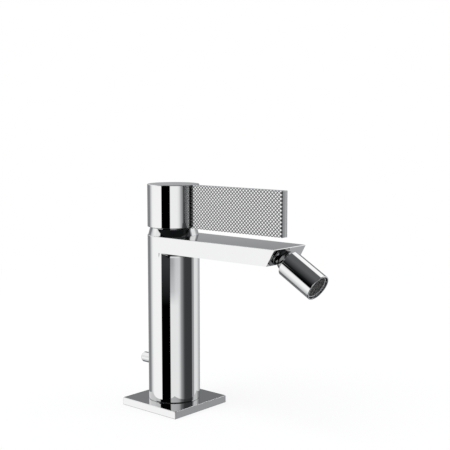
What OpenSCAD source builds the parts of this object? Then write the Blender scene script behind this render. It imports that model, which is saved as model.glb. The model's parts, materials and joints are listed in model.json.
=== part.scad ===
// Single-lever bidet mixer on a square base plate: round column, flat spout bar with an
// undercut tip, ball-jointed outlet nozzle, domed neck, round lever knob with a knurled
// lever plate, and a waste lift knob behind the column.
// Millimetres. The origin is on the column's axis at deck level, +Z up, +X along the spout.

/* [Base plate] */
// Side of the square base plate
plate_w = 57.4; // [52:0.2:70]
// Thickness of the base plate
plate_t = 5.8; // [4:0.2:8]
// Chamfer round the top of the base plate
plate_edge = 0.4; // [0.2:0.1:1]
// Thickness of the sealing ring under the plate
gasket_t = 1.5; // [1:0.1:2.5]
// Width of the sealing ring
gasket_w = 3.6; // [2:0.2:5]

/* [Column] */
// Diameter of the column
column_d = 40; // [38:0.5:46]
// Wall of the column
column_wall = 3; // [2:0.2:3.6]

/* [Spout] */
// Width of the spout bar at its tip; its sides run back to the column's full width
spout_tip_w = 36; // [34:0.2:39]
// Height of the spout bar
spout_h = 12.3; // [11:0.1:15]
// Top of the spout above the deck
spout_top_z = 134.4; // [115:0.2:170]
// Column axis to the top edge of the spout's tip
spout_reach = 113.3; // [90:0.1:150]
// Slant of the tip from the vertical, in degrees
tip_angle = 30; // [20:1:34]
// Chamfer along the spout's edges
spout_edge = 0.35; // [0.2:0.05:0.6]
// Fillet where the spout's underside meets the column
spout_fillet = 3; // [0.8:0.1:3.4]
// Radius of the waterway drilled along the spout
waterway_r = 2.4; // [1.6:0.1:2.6]
// Depth of the waterway's centre below the spout's top
waterway_depth = 5.4; // [5:0.1:6.2]

/* [Neck and knob] */
// Height of the neck between the spout and the knob
neck_h = 6.3; // [5:0.1:9]
// Height of the knob
knob_h = 32.7; // [31:0.1:40]
// How far the dome's radius is less than the knob's
dome_inset = 0.5; // [0.45:0.05:1]
// Wall of the dome
dome_wall = 1.5; // [1:0.1:2]
// Radius of the opening in the top of the dome
dome_mouth_r = 12; // [11:0.2:13.5]
// Chamfer on the knob's rims
knob_edge = 0.5; // [0.2:0.1:1]

/* [Lever plate] */
// Column axis to the end of the lever plate
lever_reach = 108.1; // [80:0.1:130]
// Thickness of the lever plate over its knurling
lever_t = 6.2; // [5.6:0.2:8]
// Distance between diamonds of the knurling along the plate
knurl_pitch_x = 2.94; // [2.6:0.02:4]
// Distance between diamonds of the knurling up the plate
knurl_pitch_z = 2.72; // [2.6:0.02:4]
// Height of the knurling's diamonds
knurl_h = 0.85; // [0.4:0.05:1]
// Thickness of a grip panel under its diamonds
panel_base_t = 0.5; // [0.4:0.05:0.8]
// Height of the tenon on the lever plate
tenon_h = 13; // [8:0.5:14]
// Length of the tenon inside the knob
tenon_l = 4.6; // [3:0.2:6]
// Radius of the screw that holds the lever plate
lever_screw_r = 1.2; // [1:0.05:1.3]
// Radius of that screw's head
lever_screw_head_r = 2.4; // [2:0.1:2.6]
// Length of that screw's thread inside the lever plate
lever_screw_grip = 8; // [5:0.5:12]

/* [Cartridge] */
// Outer radius of the cartridge
cartridge_r = 13.3; // [12.6:0.1:13.4]
// Wall of the cartridge sleeve
sleeve_wall = 1.7; // [1.2:0.1:2]
// Distance from the lever's pivot down to the stem's ball end
stem_arm = 9.5; // [9:0.1:11]
// Side of the square stem
stem_w = 7; // [6:0.1:7.4]
// Radius of the pivot pin
pivot_r = 1.25; // [1:0.05:1.6]
// Radius of the stem's ball end
stem_ball_r = 2.6; // [2.2:0.1:2.8]
// Thickness of the fixed ceramic disc
fixed_disc_t = 3.2; // [2.5:0.1:4]
// Thickness of the moving ceramic disc
moving_disc_t = 3; // [2.4:0.1:4]
// Radius of the moving ceramic disc
moving_disc_r = 8.2; // [7.6:0.1:8.3]
// Height of the cartridge's base
cartridge_base_h = 4; // [3.4:0.2:6]
// Thread radius of the retaining nut
nut_r = 15; // [14.6:0.1:15.2]
// Thickness of the floor under the cartridge
floor_t = 8; // [7:0.2:12]

/* [Foot and supply] */
// Height of the brass foot in the column's bottom
foot_h = 16; // [14:0.5:20]
// Radius of the tapped hole for the fixing stud
stud_r = 3.4; // [2.5:0.1:3.6]
// Depth of the tapped hole for the fixing stud
stud_depth = 12; // [8:0.5:13]
// Radius of the tapped hose inlets
inlet_r = 4.5; // [4:0.1:4.8]
// Depth of the tapped hose inlets
inlet_depth = 10; // [8:0.5:11]
// Distance from the axis to each hose inlet
inlet_y = 9.4; // [9:0.1:10.4]
// Outer radius of the supply tubes
tube_r = 3; // [2.6:0.1:3.6]
// Wall of the supply tubes
tube_wall = 0.8; // [0.5:0.1:1]

/* [Nozzle] */
// Diameter of the nozzle
nozzle_d = 19.8; // [18:0.1:21]
// Length of the nozzle
nozzle_len = 29; // [27:0.2:40]
// Distance from the tip's lower edge up the slant to the nozzle's axis
nozzle_rise = 3.56; // [3.2:0.02:4.6]
// Clear distance between the tip and the nozzle's rear end
nozzle_gap = 4.5; // [4:0.1:5]
// Diameter of the swivel ball
ball_d = 14.6; // [14:0.1:15]
// Distance of the ball's centre in front of the tip
ball_lead = 2.5; // [2.2:0.1:3]
// Wall of the hollow ball
ball_wall = 1.7; // [1.4:0.1:1.9]
// Radius of the hollow bolt that holds the ball
bolt_r = 2.7; // [2.3:0.1:2.8]
// Radius of the bolt's waterway
bolt_bore_r = 1.6; // [1:0.1:1.7]
// Length of the bolt's thread in the spout
bolt_grip = 4; // [3:0.1:4.4]
// Wall of the nozzle at its mouth
mouth_wall = 0.9; // [0.7:0.1:1.2]
// Depth of the aerator's rim inside the mouth
aerator_recess = 1.2; // [0.6:0.1:2]
// Spacing of the holes in the aerator's screen
screen_pitch = 1.1; // [1:0.05:1.6]

/* [Waste lift] */
// Height of the waste knob above the deck
waste_z = 32.2; // [30:0.1:40]
// Diameter of the waste knob
waste_d = 8.2; // [7:0.1:11]
// Column axis to the end of the waste knob
waste_reach = 33.8; // [29:0.2:40]
// Radius of the waste knob's neck
waste_neck_r = 1.9; // [1.5:0.1:2.2]
// How far the waste knob lifts
waste_travel = 20; // [12:1:21]
// Distance of the lift rod behind the column's axis
rod_x = 12; // [11.6:0.1:12.2]
// Radius of the lift rod
rod_r = 2.5; // [2:0.1:2.7]
// Wall of the rod's guide tube
guide_wall = 1.25; // [1:0.05:1.3]

/* [Fits] */
// Radial clearance of a running fit
run_gap = 0.04; // [0.02:0.01:0.08]
// Clearance between pieces that seat in each other
seat_gap = 0.05; // [0.02:0.01:0.1]
// Clearance round pieces that slide past each other
slide_gap = 0.15; // [0.1:0.01:0.25]
// Clearance between the dome and the knob's hollow
dome_gap = 0.4; // [0.3:0.05:0.45]
// Clearance between the swivel ball and its pocket
ball_gap = 0.35; // [0.3:0.05:0.45]

/* [Hidden] */
$fn = 96;
cut = 1;

column_r = column_d / 2;
well_r = column_r - column_wall;
spout_low_z = spout_top_z - spout_h;
spout_side_r = column_r - 0.06;
spout_taper = asin(spout_side_r / norm([spout_reach, spout_tip_w / 2]))
              - atan2(spout_tip_w / 2, spout_reach);
tip_low_x = spout_reach - spout_h * tan(tip_angle);

knob_r = column_r;
knob_z0 = spout_top_z + neck_h;
knob_z1 = knob_z0 + knob_h;
pivot_z = spout_top_z;
dome_r = knob_r - dome_inset;
hollow_r = dome_r + dome_gap;
hollow_top_z = pivot_z + hollow_r;

// Cartridge levels, from the stem's ball end down to the chamber floor
stem_end_z = pivot_z - stem_arm;
carrier_top_z = stem_end_z + 0.9;
carrier_plate_t = 2.2;
carrier_tongue_h = 4.7;
carrier_z0 = carrier_top_z - carrier_tongue_h - carrier_plate_t;
moving_z0 = carrier_z0 - seat_gap - moving_disc_t;
fixed_z0 = moving_z0 - run_gap - fixed_disc_t;
base_z0 = fixed_z0 - cartridge_base_h;
seal_stand = 0.2;
floor_z = base_z0 - seal_stand;
floor_low_z = floor_z - floor_t;
chamber_r = cartridge_r + 0.2;
sleeve_in_r = cartridge_r - sleeve_wall;

// The turning carriage and the sleeve's neck above the discs
carriage_z0 = carrier_z0 + carrier_plate_t + 0.35;
carriage_flange_h = 6;
carriage_step_z = carriage_z0 + carriage_flange_h;
carriage_top_z = pivot_z + 4;
carriage_r = 8.6;
neck_in_r = carriage_r + slide_gap;
neck_out_r = neck_in_r + 1.2;
sleeve_lid_z = carriage_step_z + 0.3;
sleeve_lid_t = 1.7;
shoulder_z = sleeve_lid_z + sleeve_lid_t;
tongue_w = 12;
slot_half_x = stem_w / 2 + 1.8;
stem_top_z = hollow_top_z + 9;
stem_body_z0 = pivot_z - 4;
dome_base_t = 2.4;

// Ports of the cartridge
port_r = 2;
port_x = -2.4;
port_y = 5.8;
outlet_r = 2.4;
outlet_x = 5.6;
cross_r = 1.7;
riser_r = 2;
riser_x = (chamber_r + column_r) / 2 + 0.2;
cross_z = floor_z - 3.6;
waterway_z = spout_top_z - waterway_depth;

// Foot
foot_r = well_r - seat_gap;
tube_socket = 5;
guide_r = rod_r + guide_wall;

// Lever plate
panel_t = panel_base_t + knurl_h;
core_t = lever_t - 2 * panel_t;
lever_screw_z = pivot_z + 17.5;
lever_screw_head_x = 13.6;
lever_screw_head_h = 2;
tenon_z0 = hollow_top_z + 0.4;
grub_z = stem_top_z - 4.6;
grub_r = 2.3;
plug_t = 1.6;

// Ball joint, along the nozzle's axis from the ball's centre
ball_r = ball_d / 2;
ball_in_r = ball_r - ball_wall;
pocket_r = ball_r + ball_gap;
nozzle_r = nozzle_d / 2;
ball_x = tip_low_x + nozzle_rise * sin(tip_angle) + ball_lead * cos(tip_angle);
ball_z = spout_low_z + nozzle_rise * cos(tip_angle) - ball_lead * sin(tip_angle);
nozzle_a0 = nozzle_gap - ball_lead;
nozzle_a1 = nozzle_a0 + nozzle_len;
tilt_room = 23;
spigot_r = ball_r - 0.4;
spigot_a1 = nozzle_a0 + 7.5;
ball_bore_r = ball_in_r - 0.4;
washer_a0 = -4.2;
washer_a1 = -1.5;
washer_r = ball_in_r - slide_gap;
bolt_head_r = 4.4;
bolt_head_a1 = 0.8;
bolt_end_a = -(pocket_r + bolt_grip);
seal_ring_r = 0.7;
seal_polar = 31;
seal_dist = ball_r + seal_ring_r + 0.1;

// Nozzle and aerator, along the same axis
step_a = spigot_a1 + 2.4;
mouth_r = nozzle_r - mouth_wall;
aerator_a1 = nozzle_a1 - aerator_recess;
aerator_seal_t = 1.8;
aerator_a0 = step_a + aerator_seal_t;
aerator_r = mouth_r - 0.6;
aerator_lip = 0.75;
screen_t = 0.6;
screen_r = aerator_r - aerator_lip;
screen_a0 = aerator_a1 - 2.2;
screen_rim = 0.9;
shelf_r = screen_r - 0.8;
aerator_bore_r = shelf_r - 0.6;

// Waste lift
rod_head_r = 4;
rod_head_h = 8;
rod_z0 = 0.8;
link_r = 1.65;
link_depth = 8;
guide_z0 = 2;
guide_z1 = waste_z - rod_head_h / 2 - 0.5;
waste_knob_x0 = column_r + 1.6;
waste_round = 1.2;
waste_slot_half = waste_neck_r + 0.3;

// Shapes that repeat

module drum(r, z0, z1) {
    translate([0, 0, z0]) cylinder(r = r, h = z1 - z0);
}

module ring(r_out, r_in, z0, z1) {
    difference() {
        drum(r_out, z0, z1);
        drum(r_in, z0 - cut, z1 + cut);
    }
}

module block(size_x, size_y, z0, z1) {
    translate([-size_x / 2, -size_y / 2, z0]) cube([size_x, size_y, z1 - z0]);
}

// A round bar along X
module bar_x(r, x0, x1, z) {
    translate([x0, 0, z]) rotate([0, 90, 0]) cylinder(r = r, h = x1 - x0);
}

// A round bar along Y, centred
module bar_y(r, length, z) {
    translate([0, length / 2, z]) rotate([90, 0, 0]) cylinder(r = r, h = length);
}

// Children placed with their +Z along the nozzle's axis, from the ball's centre
module at_ball() {
    translate([ball_x, 0, ball_z]) rotate([0, 90 + tip_angle, 0]) children();
}

// Outline of a slab standing on its base, with its two top corners cut by a chamfer
module slab_outline(w, h, edge) {
    polygon([[-w / 2, 0], [w / 2, 0], [w / 2, h - edge], [w / 2 - edge, h],
             [-w / 2 + edge, h], [-w / 2, h - edge]]);
}

// Drum with a chamfer on both rims
module edged_drum(r, z0, z1, edge) {
    rotate_extrude()
        polygon([[0, z0], [r - edge, z0], [r, z0 + edge], [r, z1 - edge], [r - edge, z1], [0, z1]]);
}

// Fixed pieces on the deck

module base_plate() {
    gasket_in_r = column_r - gasket_w / 2;
    color("silver") difference() {
        intersection() {
            rotate([90, 0, 0]) linear_extrude(height = plate_w, center = true)
                slab_outline(plate_w, plate_t, plate_edge);
            rotate([90, 0, 90]) linear_extrude(height = plate_w, center = true)
                slab_outline(plate_w, plate_t, plate_edge);
        }
        drum(foot_r + seat_gap, -cut, plate_t + cut);
        ring(gasket_in_r + gasket_w + seat_gap, gasket_in_r - seat_gap, -cut, gasket_t);
    }
}

module base_gasket() {
    gasket_in_r = column_r - gasket_w / 2;
    color("dimgray") ring(gasket_in_r + gasket_w, gasket_in_r, 0, gasket_t);
}

// Side view of the spout bar, with the undercut tip and a chamfer along its top edge
module spout_side() {
    polygon([[0, spout_low_z], [tip_low_x, spout_low_z],
             [spout_reach - spout_edge * tan(tip_angle), spout_top_z - spout_edge],
             [spout_reach - 2 * spout_edge, spout_top_z], [0, spout_top_z]]);
}

// Slab as high as the spout bar, bounded by the bar's tapered side towards +Y or -Y
module spout_flank(side) {
    rim_r = spout_side_r - spout_edge;
    rotate(-side * spout_taper) rotate([90, 0, 90]) linear_extrude(height = 2 * spout_reach)
        polygon([[-side * column_d, spout_low_z], [side * rim_r, spout_low_z],
                 [side * spout_side_r, spout_low_z + spout_edge],
                 [side * spout_side_r, spout_top_z - spout_edge],
                 [side * rim_r, spout_top_z], [-side * column_d, spout_top_z]]);
}

module spout_bar() {
    intersection() {
        rotate([90, 0, 0]) linear_extrude(height = 2 * column_d, center = true) spout_side();
        spout_flank(1);
        spout_flank(-1);
    }
}

// Concave fillet round the column's front, under the spout
module spout_root() {
    intersection() {
        rotate_extrude() difference() {
            translate([column_r - cut, spout_low_z - spout_fillet])
                square([cut + spout_fillet, spout_fillet + spout_edge]);
            translate([column_r + spout_fillet, spout_low_z - spout_fillet]) circle(r = spout_fillet);
        }
        translate([0, -spout_tip_w / 2, spout_low_z - 2 * spout_fillet])
            cube([spout_reach, spout_tip_w, 3 * spout_fillet]);
    }
}

// Slot in the column's back for the waste knob's neck
module waste_slot() {
    back = -column_r - cut;
    front = -well_r + 2 * cut;
    translate([back, -waste_slot_half, waste_z])
        cube([front - back, 2 * waste_slot_half, waste_travel]);
    bar_x(waste_slot_half, back, front, waste_z);
    bar_x(waste_slot_half, back, front, waste_z + waste_travel);
}

// Drillings that carry the mixed water from the cartridge to the spout's tip
module mixed_waterway() {
    drill_end = 0.6;
    translate([outlet_x, 0, 0]) drum(outlet_r, cross_z - cross_r - drill_end, floor_z + cut);
    bar_x(cross_r, outlet_x, riser_x, cross_z);
    translate([riser_x, 0, 0]) drum(riser_r, cross_z - cross_r - drill_end, waterway_z);
    bar_x(waterway_r, riser_x, tip_low_x - 4, waterway_z);
}

// Pocket for the swivel ball, its seal's groove and the bolt's hole
module ball_socket() {
    at_ball() {
        sphere(r = pocket_r);
        drum(bolt_r + seat_gap, bolt_end_a, 0);
        seal_loop(seal_ring_r + seat_gap);
    }
}

module seal_loop(r) {
    rotate_extrude() translate([seal_dist * sin(seal_polar), -seal_dist * cos(seal_polar)])
        circle(r = r, $fn = 32);
}

module body() {
    color("silver") difference() {
        union() {
            edged_drum(column_r, plate_t, spout_top_z, spout_edge);
            spout_bar();
            spout_root();
        }
        drum(well_r, plate_t - cut, floor_low_z);
        drum(chamber_r, floor_z, spout_top_z + cut);
        drum(nut_r, shoulder_z - 0.4, spout_top_z + cut);
        for (side = [-1, 1]) translate([0, side * inlet_y, 0]) {
            drum(tube_r + seat_gap, floor_low_z - cut, floor_low_z + tube_socket);
            drum(tube_r - tube_wall, floor_low_z, floor_z + cut);
        }
        mixed_waterway();
        ball_socket();
        waste_slot();
    }
}

module inlet_foot() {
    color("goldenrod") difference() {
        drum(foot_r, 0, foot_h);
        drum(stud_r, -cut, stud_depth);
        for (side = [-1, 1]) translate([0, side * inlet_y, 0]) {
            drum(inlet_r, -cut, inlet_depth);
            drum(tube_r - tube_wall, 0, foot_h);
            drum(tube_r + seat_gap, foot_h - tube_socket, foot_h + cut);
        }
        translate([-rod_x, 0, 0]) drum(guide_r + seat_gap, -cut, foot_h + cut);
    }
}

module supply_tubes() {
    color("peru") for (side = [-1, 1]) translate([0, side * inlet_y, 0])
        ring(tube_r, tube_r - tube_wall, foot_h - tube_socket, floor_low_z + tube_socket);
}

module rod_guide() {
    color("ivory") translate([-rod_x, 0, 0]) difference() {
        union() {
            drum(guide_r, guide_z0, guide_z1);
            drum(guide_r + 0.9, foot_h, foot_h + 1.2);
        }
        drum(rod_r + run_gap, -cut, guide_z1 + cut);
    }
}

// Cartridge

module base_seals() {
    color("black") {
        for (side = [-1, 1]) translate([0, side * inlet_y, 0])
            ring(tube_r, tube_r - tube_wall + 0.1, floor_z, base_z0 + 0.9);
        translate([outlet_x, 0, 0]) ring(outlet_r + 1, outlet_r + 0.1, floor_z, base_z0 + 0.9);
    }
}

module cartridge_base() {
    step_z = base_z0 + cartridge_base_h / 2;
    color("white") difference() {
        union() {
            drum(cartridge_r, base_z0, step_z);
            drum(sleeve_in_r - seat_gap, base_z0, fixed_z0);
        }
        for (side = [-1, 1]) {
            translate([0, side * inlet_y, 0]) drum(tube_r + seat_gap, base_z0 - cut, base_z0 + 1);
            translate([0, side * inlet_y, 0]) drum(tube_r - tube_wall, base_z0 - cut, step_z);
            translate([port_x, side * port_y, 0]) drum(port_r, base_z0 + 1.2, fixed_z0 + cut);
        }
        translate([outlet_x, 0, 0]) drum(outlet_r, base_z0 - cut, fixed_z0 + cut);
        translate([outlet_x, 0, 0]) drum(outlet_r + 1 + seat_gap, base_z0 - cut, base_z0 + 1);
    }
}

module fixed_disc() {
    color("whitesmoke") difference() {
        drum(sleeve_in_r - 2 * seat_gap, fixed_z0, fixed_z0 + fixed_disc_t);
        for (side = [-1, 1]) translate([port_x, side * port_y, 0])
            drum(port_r, fixed_z0 - cut, moving_z0 + cut);
        translate([outlet_x, 0, 0]) drum(outlet_r, fixed_z0 - cut, moving_z0 + cut);
    }
}

module cartridge_sleeve() {
    step_z = base_z0 + cartridge_base_h / 2;
    color("gainsboro") difference() {
        union() {
            drum(cartridge_r, step_z, shoulder_z);
            drum(neck_out_r, shoulder_z - cut, spout_top_z - 0.4);
        }
        drum(sleeve_in_r, step_z - cut, sleeve_lid_z);
        drum(neck_in_r, step_z, spout_top_z + cut);
    }
}

module retaining_nut() {
    color("goldenrod") ring(nut_r - seat_gap, neck_out_r + slide_gap, shoulder_z + seat_gap,
                            spout_top_z + dome_base_t + 0.6);
}

// Spherical cover of the neck, with an inner flange that screws on the retaining nut
module dome_cover() {
    mouth_z = pivot_z + sqrt(pow(dome_r, 2) - pow(dome_mouth_r, 2));
    base_z = spout_top_z + seat_gap;
    color("silver") difference() {
        intersection() {
            translate([0, 0, pivot_z]) sphere(r = dome_r);
            drum(knob_r, base_z, mouth_z);
        }
        difference() {
            translate([0, 0, pivot_z]) sphere(r = dome_r - dome_wall);
            drum(knob_r, base_z - cut, base_z + dome_base_t);
        }
        drum(nut_r, base_z - cut, base_z + dome_base_t + cut);
    }
}

// Pieces that turn with the lever

module carriage() {
    pin_reach = carriage_r - 0.4;
    color("whitesmoke") difference() {
        union() {
            drum(sleeve_in_r - slide_gap, carriage_z0, carriage_step_z);
            drum(carriage_r, carriage_z0, carriage_top_z);
        }
        block(3 * cartridge_r, tongue_w + 2 * slide_gap, carriage_z0 - cut, carrier_top_z + 0.7);
        block(2 * slot_half_x, stem_w + 2 * slide_gap, carriage_z0 - cut, carriage_top_z + cut);
        bar_y(pivot_r + seat_gap, 2 * pin_reach + 2 * seat_gap, pivot_z);
    }
}

module pivot_pin() {
    color("lightsteelblue") bar_y(pivot_r, 2 * (carriage_r - 0.4), pivot_z);
}

module moving_disc() {
    color("snow") difference() {
        drum(moving_disc_r, moving_z0, moving_z0 + moving_disc_t);
        translate([moving_disc_r / 4, 0, 0])
            block(moving_disc_r, 1.2 * moving_disc_r, moving_z0 - cut, moving_z0 + moving_disc_t / 2);
    }
}

// Driver on the moving disc: a plate with a tongue that the carriage guides
module disc_carrier() {
    color("darkseagreen") difference() {
        union() {
            drum(moving_disc_r, carrier_z0, carrier_z0 + carrier_plate_t);
            block(tongue_w, tongue_w, carrier_z0, carrier_top_z);
        }
        drum(stem_ball_r + slide_gap, carrier_z0 + 0.8, carrier_top_z + cut);
    }
}

// Lever

module stem() {
    color("lightsteelblue") difference() {
        union() {
            translate([0, 0, stem_end_z]) sphere(r = stem_ball_r);
            drum(stem_ball_r - 0.7, stem_end_z, stem_body_z0 + cut);
            block(stem_w, stem_w, stem_body_z0, stem_top_z);
        }
        bar_y(pivot_r + run_gap, 2 * stem_w, pivot_z);
    }
}

module knob() {
    color("silver") difference() {
        edged_drum(knob_r, knob_z0, knob_z1, knob_edge);
        translate([0, 0, pivot_z]) sphere(r = hollow_r);
        block(stem_w + 2 * seat_gap, stem_w + 2 * seat_gap, pivot_z, stem_top_z + seat_gap);
        lever_seat();
        bar_x(lever_screw_r + seat_gap, 0, knob_r + cut, lever_screw_z);
        bar_x(lever_screw_head_r + seat_gap, 0, lever_screw_head_x + lever_screw_head_h, lever_screw_z);
        bar_x(grub_r, -knob_r - cut, 0, grub_z);
    }
}

// Slot in the knob's front for the lever plate's tenon
module lever_seat() {
    translate([knob_r - tenon_l - seat_gap, -core_t / 2 - seat_gap, tenon_z0 - seat_gap])
        cube([tenon_l + cut, core_t + 2 * seat_gap, tenon_h + 2 * seat_gap]);
}

// Core of the lever: a flat bar whose root fits round the knob, with a tenon and a tapped hole
module lever_plate() {
    color("silver") difference() {
        union() {
            difference() {
                translate([0, -core_t / 2, knob_z0]) cube([lever_reach, core_t, knob_h]);
                drum(knob_r + seat_gap, knob_z0 - cut, knob_z1 + cut);
            }
            translate([knob_r - tenon_l, -core_t / 2, tenon_z0]) cube([tenon_l + cut, core_t, tenon_h]);
        }
        bar_x(lever_screw_r + seat_gap, knob_r - tenon_l, knob_r + lever_screw_grip, lever_screw_z);
    }
}

// Knurled panel: its flat back lies on y = 0 and its diamonds point to -y.
// Crests and valleys alternate on a grid of half pitches, so each cell is two facets.
module grip_panel(length, height) {
    nx = 2 * round(length / knurl_pitch_x);
    nz = 2 * round(height / knurl_pitch_z);
    function at(i, j) = i * (nz + 1) + j;
    function rise(i, j) = panel_base_t + ((i + j) % 2 == 1 ? knurl_h : 0);
    crest = [for (i = [0:nx]) for (j = [0:nz]) [i * length / nx, -rise(i, j), j * height / nz]];
    facets = [for (i = [0:nx - 1]) for (j = [0:nz - 1]) each (i + j) % 2 == 1
        ? [[at(i, j), at(i, j + 1), at(i + 1, j)], [at(i + 1, j + 1), at(i + 1, j), at(i, j + 1)]]
        : [[at(i, j), at(i, j + 1), at(i + 1, j + 1)], [at(i, j), at(i + 1, j + 1), at(i + 1, j)]]];
    // The rim of the knurled face in order, and the same points on the flat back
    rim = concat([for (i = [0:nx - 1]) at(i, 0)], [for (j = [0:nz - 1]) at(nx, j)],
                 [for (i = [nx:-1:1]) at(i, nz)], [for (j = [nz:-1:1]) at(0, j)]);
    n = len(rim);
    first = len(crest);
    middle = first + n;
    back = [for (k = rim) [crest[k][0], 0, crest[k][2]]];
    sides = [for (k = [0:n - 1]) [rim[k], rim[(k + 1) % n], first + (k + 1) % n, first + k]];
    fan = [for (k = [0:n - 1]) [first + k, first + (k + 1) % n, middle]];
    polyhedron(points = concat(crest, back, [[length / 2, 0, height / 2]]),
               faces = concat(facets, sides, fan), convexity = 4);
}

module grip_panels() {
    start_x = knob_r + 2 * seat_gap;
    color("gray") for (side = [0, 1]) mirror([0, side, 0])
        translate([start_x, -core_t / 2 - seat_gap / 2, knob_z0])
            grip_panel(lever_reach - start_x, knob_h);
}

module lever_screw() {
    head_x1 = lever_screw_head_x + lever_screw_head_h;
    color("dimgray") difference() {
        union() {
            bar_x(lever_screw_r, lever_screw_head_x, knob_r + lever_screw_grip - 1, lever_screw_z);
            bar_x(lever_screw_head_r, lever_screw_head_x, head_x1, lever_screw_z);
        }
        translate([lever_screw_head_x - cut, 0, lever_screw_z]) rotate([0, 90, 0])
            cylinder(r = lever_screw_r, h = cut + lever_screw_head_h / 2, $fn = 6);
    }
}

module grub_screw() {
    tip_x = -stem_w / 2 - 0.1;
    color("dimgray") difference() {
        bar_x(grub_r - seat_gap, tip_x - 8, tip_x, grub_z);
        translate([tip_x - 8 - cut, 0, grub_z]) rotate([0, 90, 0])
            cylinder(r = grub_r / 2, h = cut + 3, $fn = 6);
    }
}

// Cap over the grub screw's hole, flush with the knob
module screw_plug() {
    color("lightgray") intersection() {
        bar_x(grub_r - seat_gap, -knob_r, -knob_r + plug_t + 0.4, grub_z);
        drum(knob_r, knob_z0, knob_z1);
    }
}

// Ball joint

module ball_bolt() {
    color("goldenrod") at_ball() difference() {
        union() {
            drum(bolt_r, bolt_end_a + 0.2, bolt_head_a1);
            drum(bolt_head_r, washer_a1 + seat_gap, bolt_head_a1);
        }
        drum(bolt_bore_r, bolt_end_a, bolt_head_a1 + cut);
        translate([0, 0, washer_a1 + 0.8]) cylinder(r = bolt_bore_r + 0.7, h = 2 * cut, $fn = 6);
    }
}

module ball_seal() {
    color("black") at_ball() seal_loop(seal_ring_r);
}

// Friction washer between the bolt's head and the inside of the ball
module ball_washer() {
    color("ivory") at_ball() difference() {
        intersection() {
            sphere(r = washer_r);
            drum(ball_r, washer_a0, washer_a1);
        }
        drum(bolt_r + run_gap, washer_a0 - cut, washer_a1 + cut);
    }
}

// Hollow ball with a threaded spigot, open behind so that it can tilt round the bolt
module swivel_ball() {
    outer_polar = asin(bolt_r / ball_r) + tilt_room;
    inner_polar = asin(bolt_r / ball_in_r) + tilt_room;
    outer_a = -ball_r * cos(outer_polar);
    inner_a = -ball_in_r * cos(inner_polar);
    slope = (ball_r * sin(outer_polar) - ball_in_r * sin(inner_polar)) / (inner_a - outer_a);
    color("silver") at_ball() difference() {
        union() {
            sphere(r = ball_r);
            drum(spigot_r, 0, spigot_a1);
        }
        sphere(r = ball_in_r);
        drum(ball_bore_r, 0, spigot_a1 + cut);
        translate([0, 0, -ball_r - cut])
            cylinder(r1 = ball_r * sin(outer_polar) + slope * (outer_a + ball_r + cut),
                     r2 = ball_in_r * sin(inner_polar) - slope * (-1 - inner_a), h = ball_r + cut - 1);
    }
}

// Nozzle and aerator

module nozzle_shell() {
    edge = 0.4;
    sink = ball_r + 0.1;
    seat_r = spigot_r + seat_gap;
    sink_a = nozzle_a0 + 1;
    color("silver") at_ball() rotate_extrude()
        polygon([[sink, nozzle_a0], [nozzle_r - edge, nozzle_a0], [nozzle_r, nozzle_a0 + edge],
                 [nozzle_r, nozzle_a1 - edge], [nozzle_r - edge, nozzle_a1], [mouth_r, nozzle_a1],
                 [mouth_r, step_a], [aerator_bore_r, step_a], [aerator_bore_r, spigot_a1 + seat_gap],
                 [seat_r, spigot_a1 + seat_gap], [seat_r, sink_a]]);
}

module aerator_seal() {
    color("black") at_ball()
        ring(mouth_r - seat_gap, aerator_bore_r + 0.3, step_a, aerator_a0 - seat_gap);
}

module aerator_housing() {
    thread_a = aerator_a0 + 6;
    out_r = mouth_r - seat_gap;
    color("gray") at_ball() rotate_extrude()
        polygon([[aerator_bore_r, aerator_a0], [out_r, aerator_a0], [out_r, thread_a],
                 [aerator_r, thread_a], [aerator_r, aerator_a1], [screen_r + seat_gap, aerator_a1],
                 [screen_r + seat_gap, screen_a0], [shelf_r, screen_a0],
                 [shelf_r, screen_a0 - 2], [aerator_bore_r, screen_a0 - 3]]);
}

module aerator_diffuser() {
    a0 = aerator_a0 + 3;
    holes = 8;
    color("whitesmoke") at_ball() difference() {
        drum(aerator_bore_r - seat_gap, a0, a0 + 2.5);
        for (i = [0:holes - 1]) rotate(i * 360 / holes) translate([0.6 * aerator_bore_r, 0, 0])
            drum(0.55, a0 - cut, a0 + 2.5 + cut);
    }
}

// Screen at the nozzle's mouth: a plate with a square grid of holes inside a plain rim
module aerator_screen() {
    n = ceil(screen_r / screen_pitch);
    reach = screen_r - screen_rim;
    color("dimgray") at_ball() translate([0, 0, screen_a0]) linear_extrude(height = screen_t)
        difference() {
            circle(r = screen_r);
            for (i = [-n:n]) for (j = [-n:n])
                if (norm([i, j]) * screen_pitch < reach)
                    translate([i * screen_pitch, j * screen_pitch])
                        square(0.6 * screen_pitch, center = true);
        }
}

// Waste lift

module lift_rod() {
    color("lightsteelblue") difference() {
        translate([-rod_x, 0, 0]) union() {
            drum(rod_r, rod_z0, waste_z);
            drum(rod_head_r, waste_z - rod_head_h / 2, waste_z + rod_head_h / 2);
        }
        translate([-rod_x, 0, 0]) drum(link_r, rod_z0 - cut, rod_z0 + link_depth);
        bar_x(waste_neck_r + seat_gap, -rod_x - rod_head_r - cut, -rod_x + 1.5, waste_z);
    }
}

// Knob with a rounded end on a threaded neck, turned about X
module waste_knob() {
    r = waste_d / 2;
    steps = 6;
    color("silver") translate([0, 0, waste_z]) rotate([0, -90, 0]) rotate_extrude()
        polygon(concat(
            [[0, rod_x - 1], [waste_neck_r, rod_x - 1], [waste_neck_r, waste_knob_x0],
             [r - 0.4, waste_knob_x0], [r, waste_knob_x0 + 0.4]],
            [for (i = [0:steps]) let (turn = 90 * i / steps)
                [r - waste_round + waste_round * cos(turn),
                 waste_reach - waste_round + waste_round * sin(turn)]],
            [[0, waste_reach]]));
}

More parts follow.
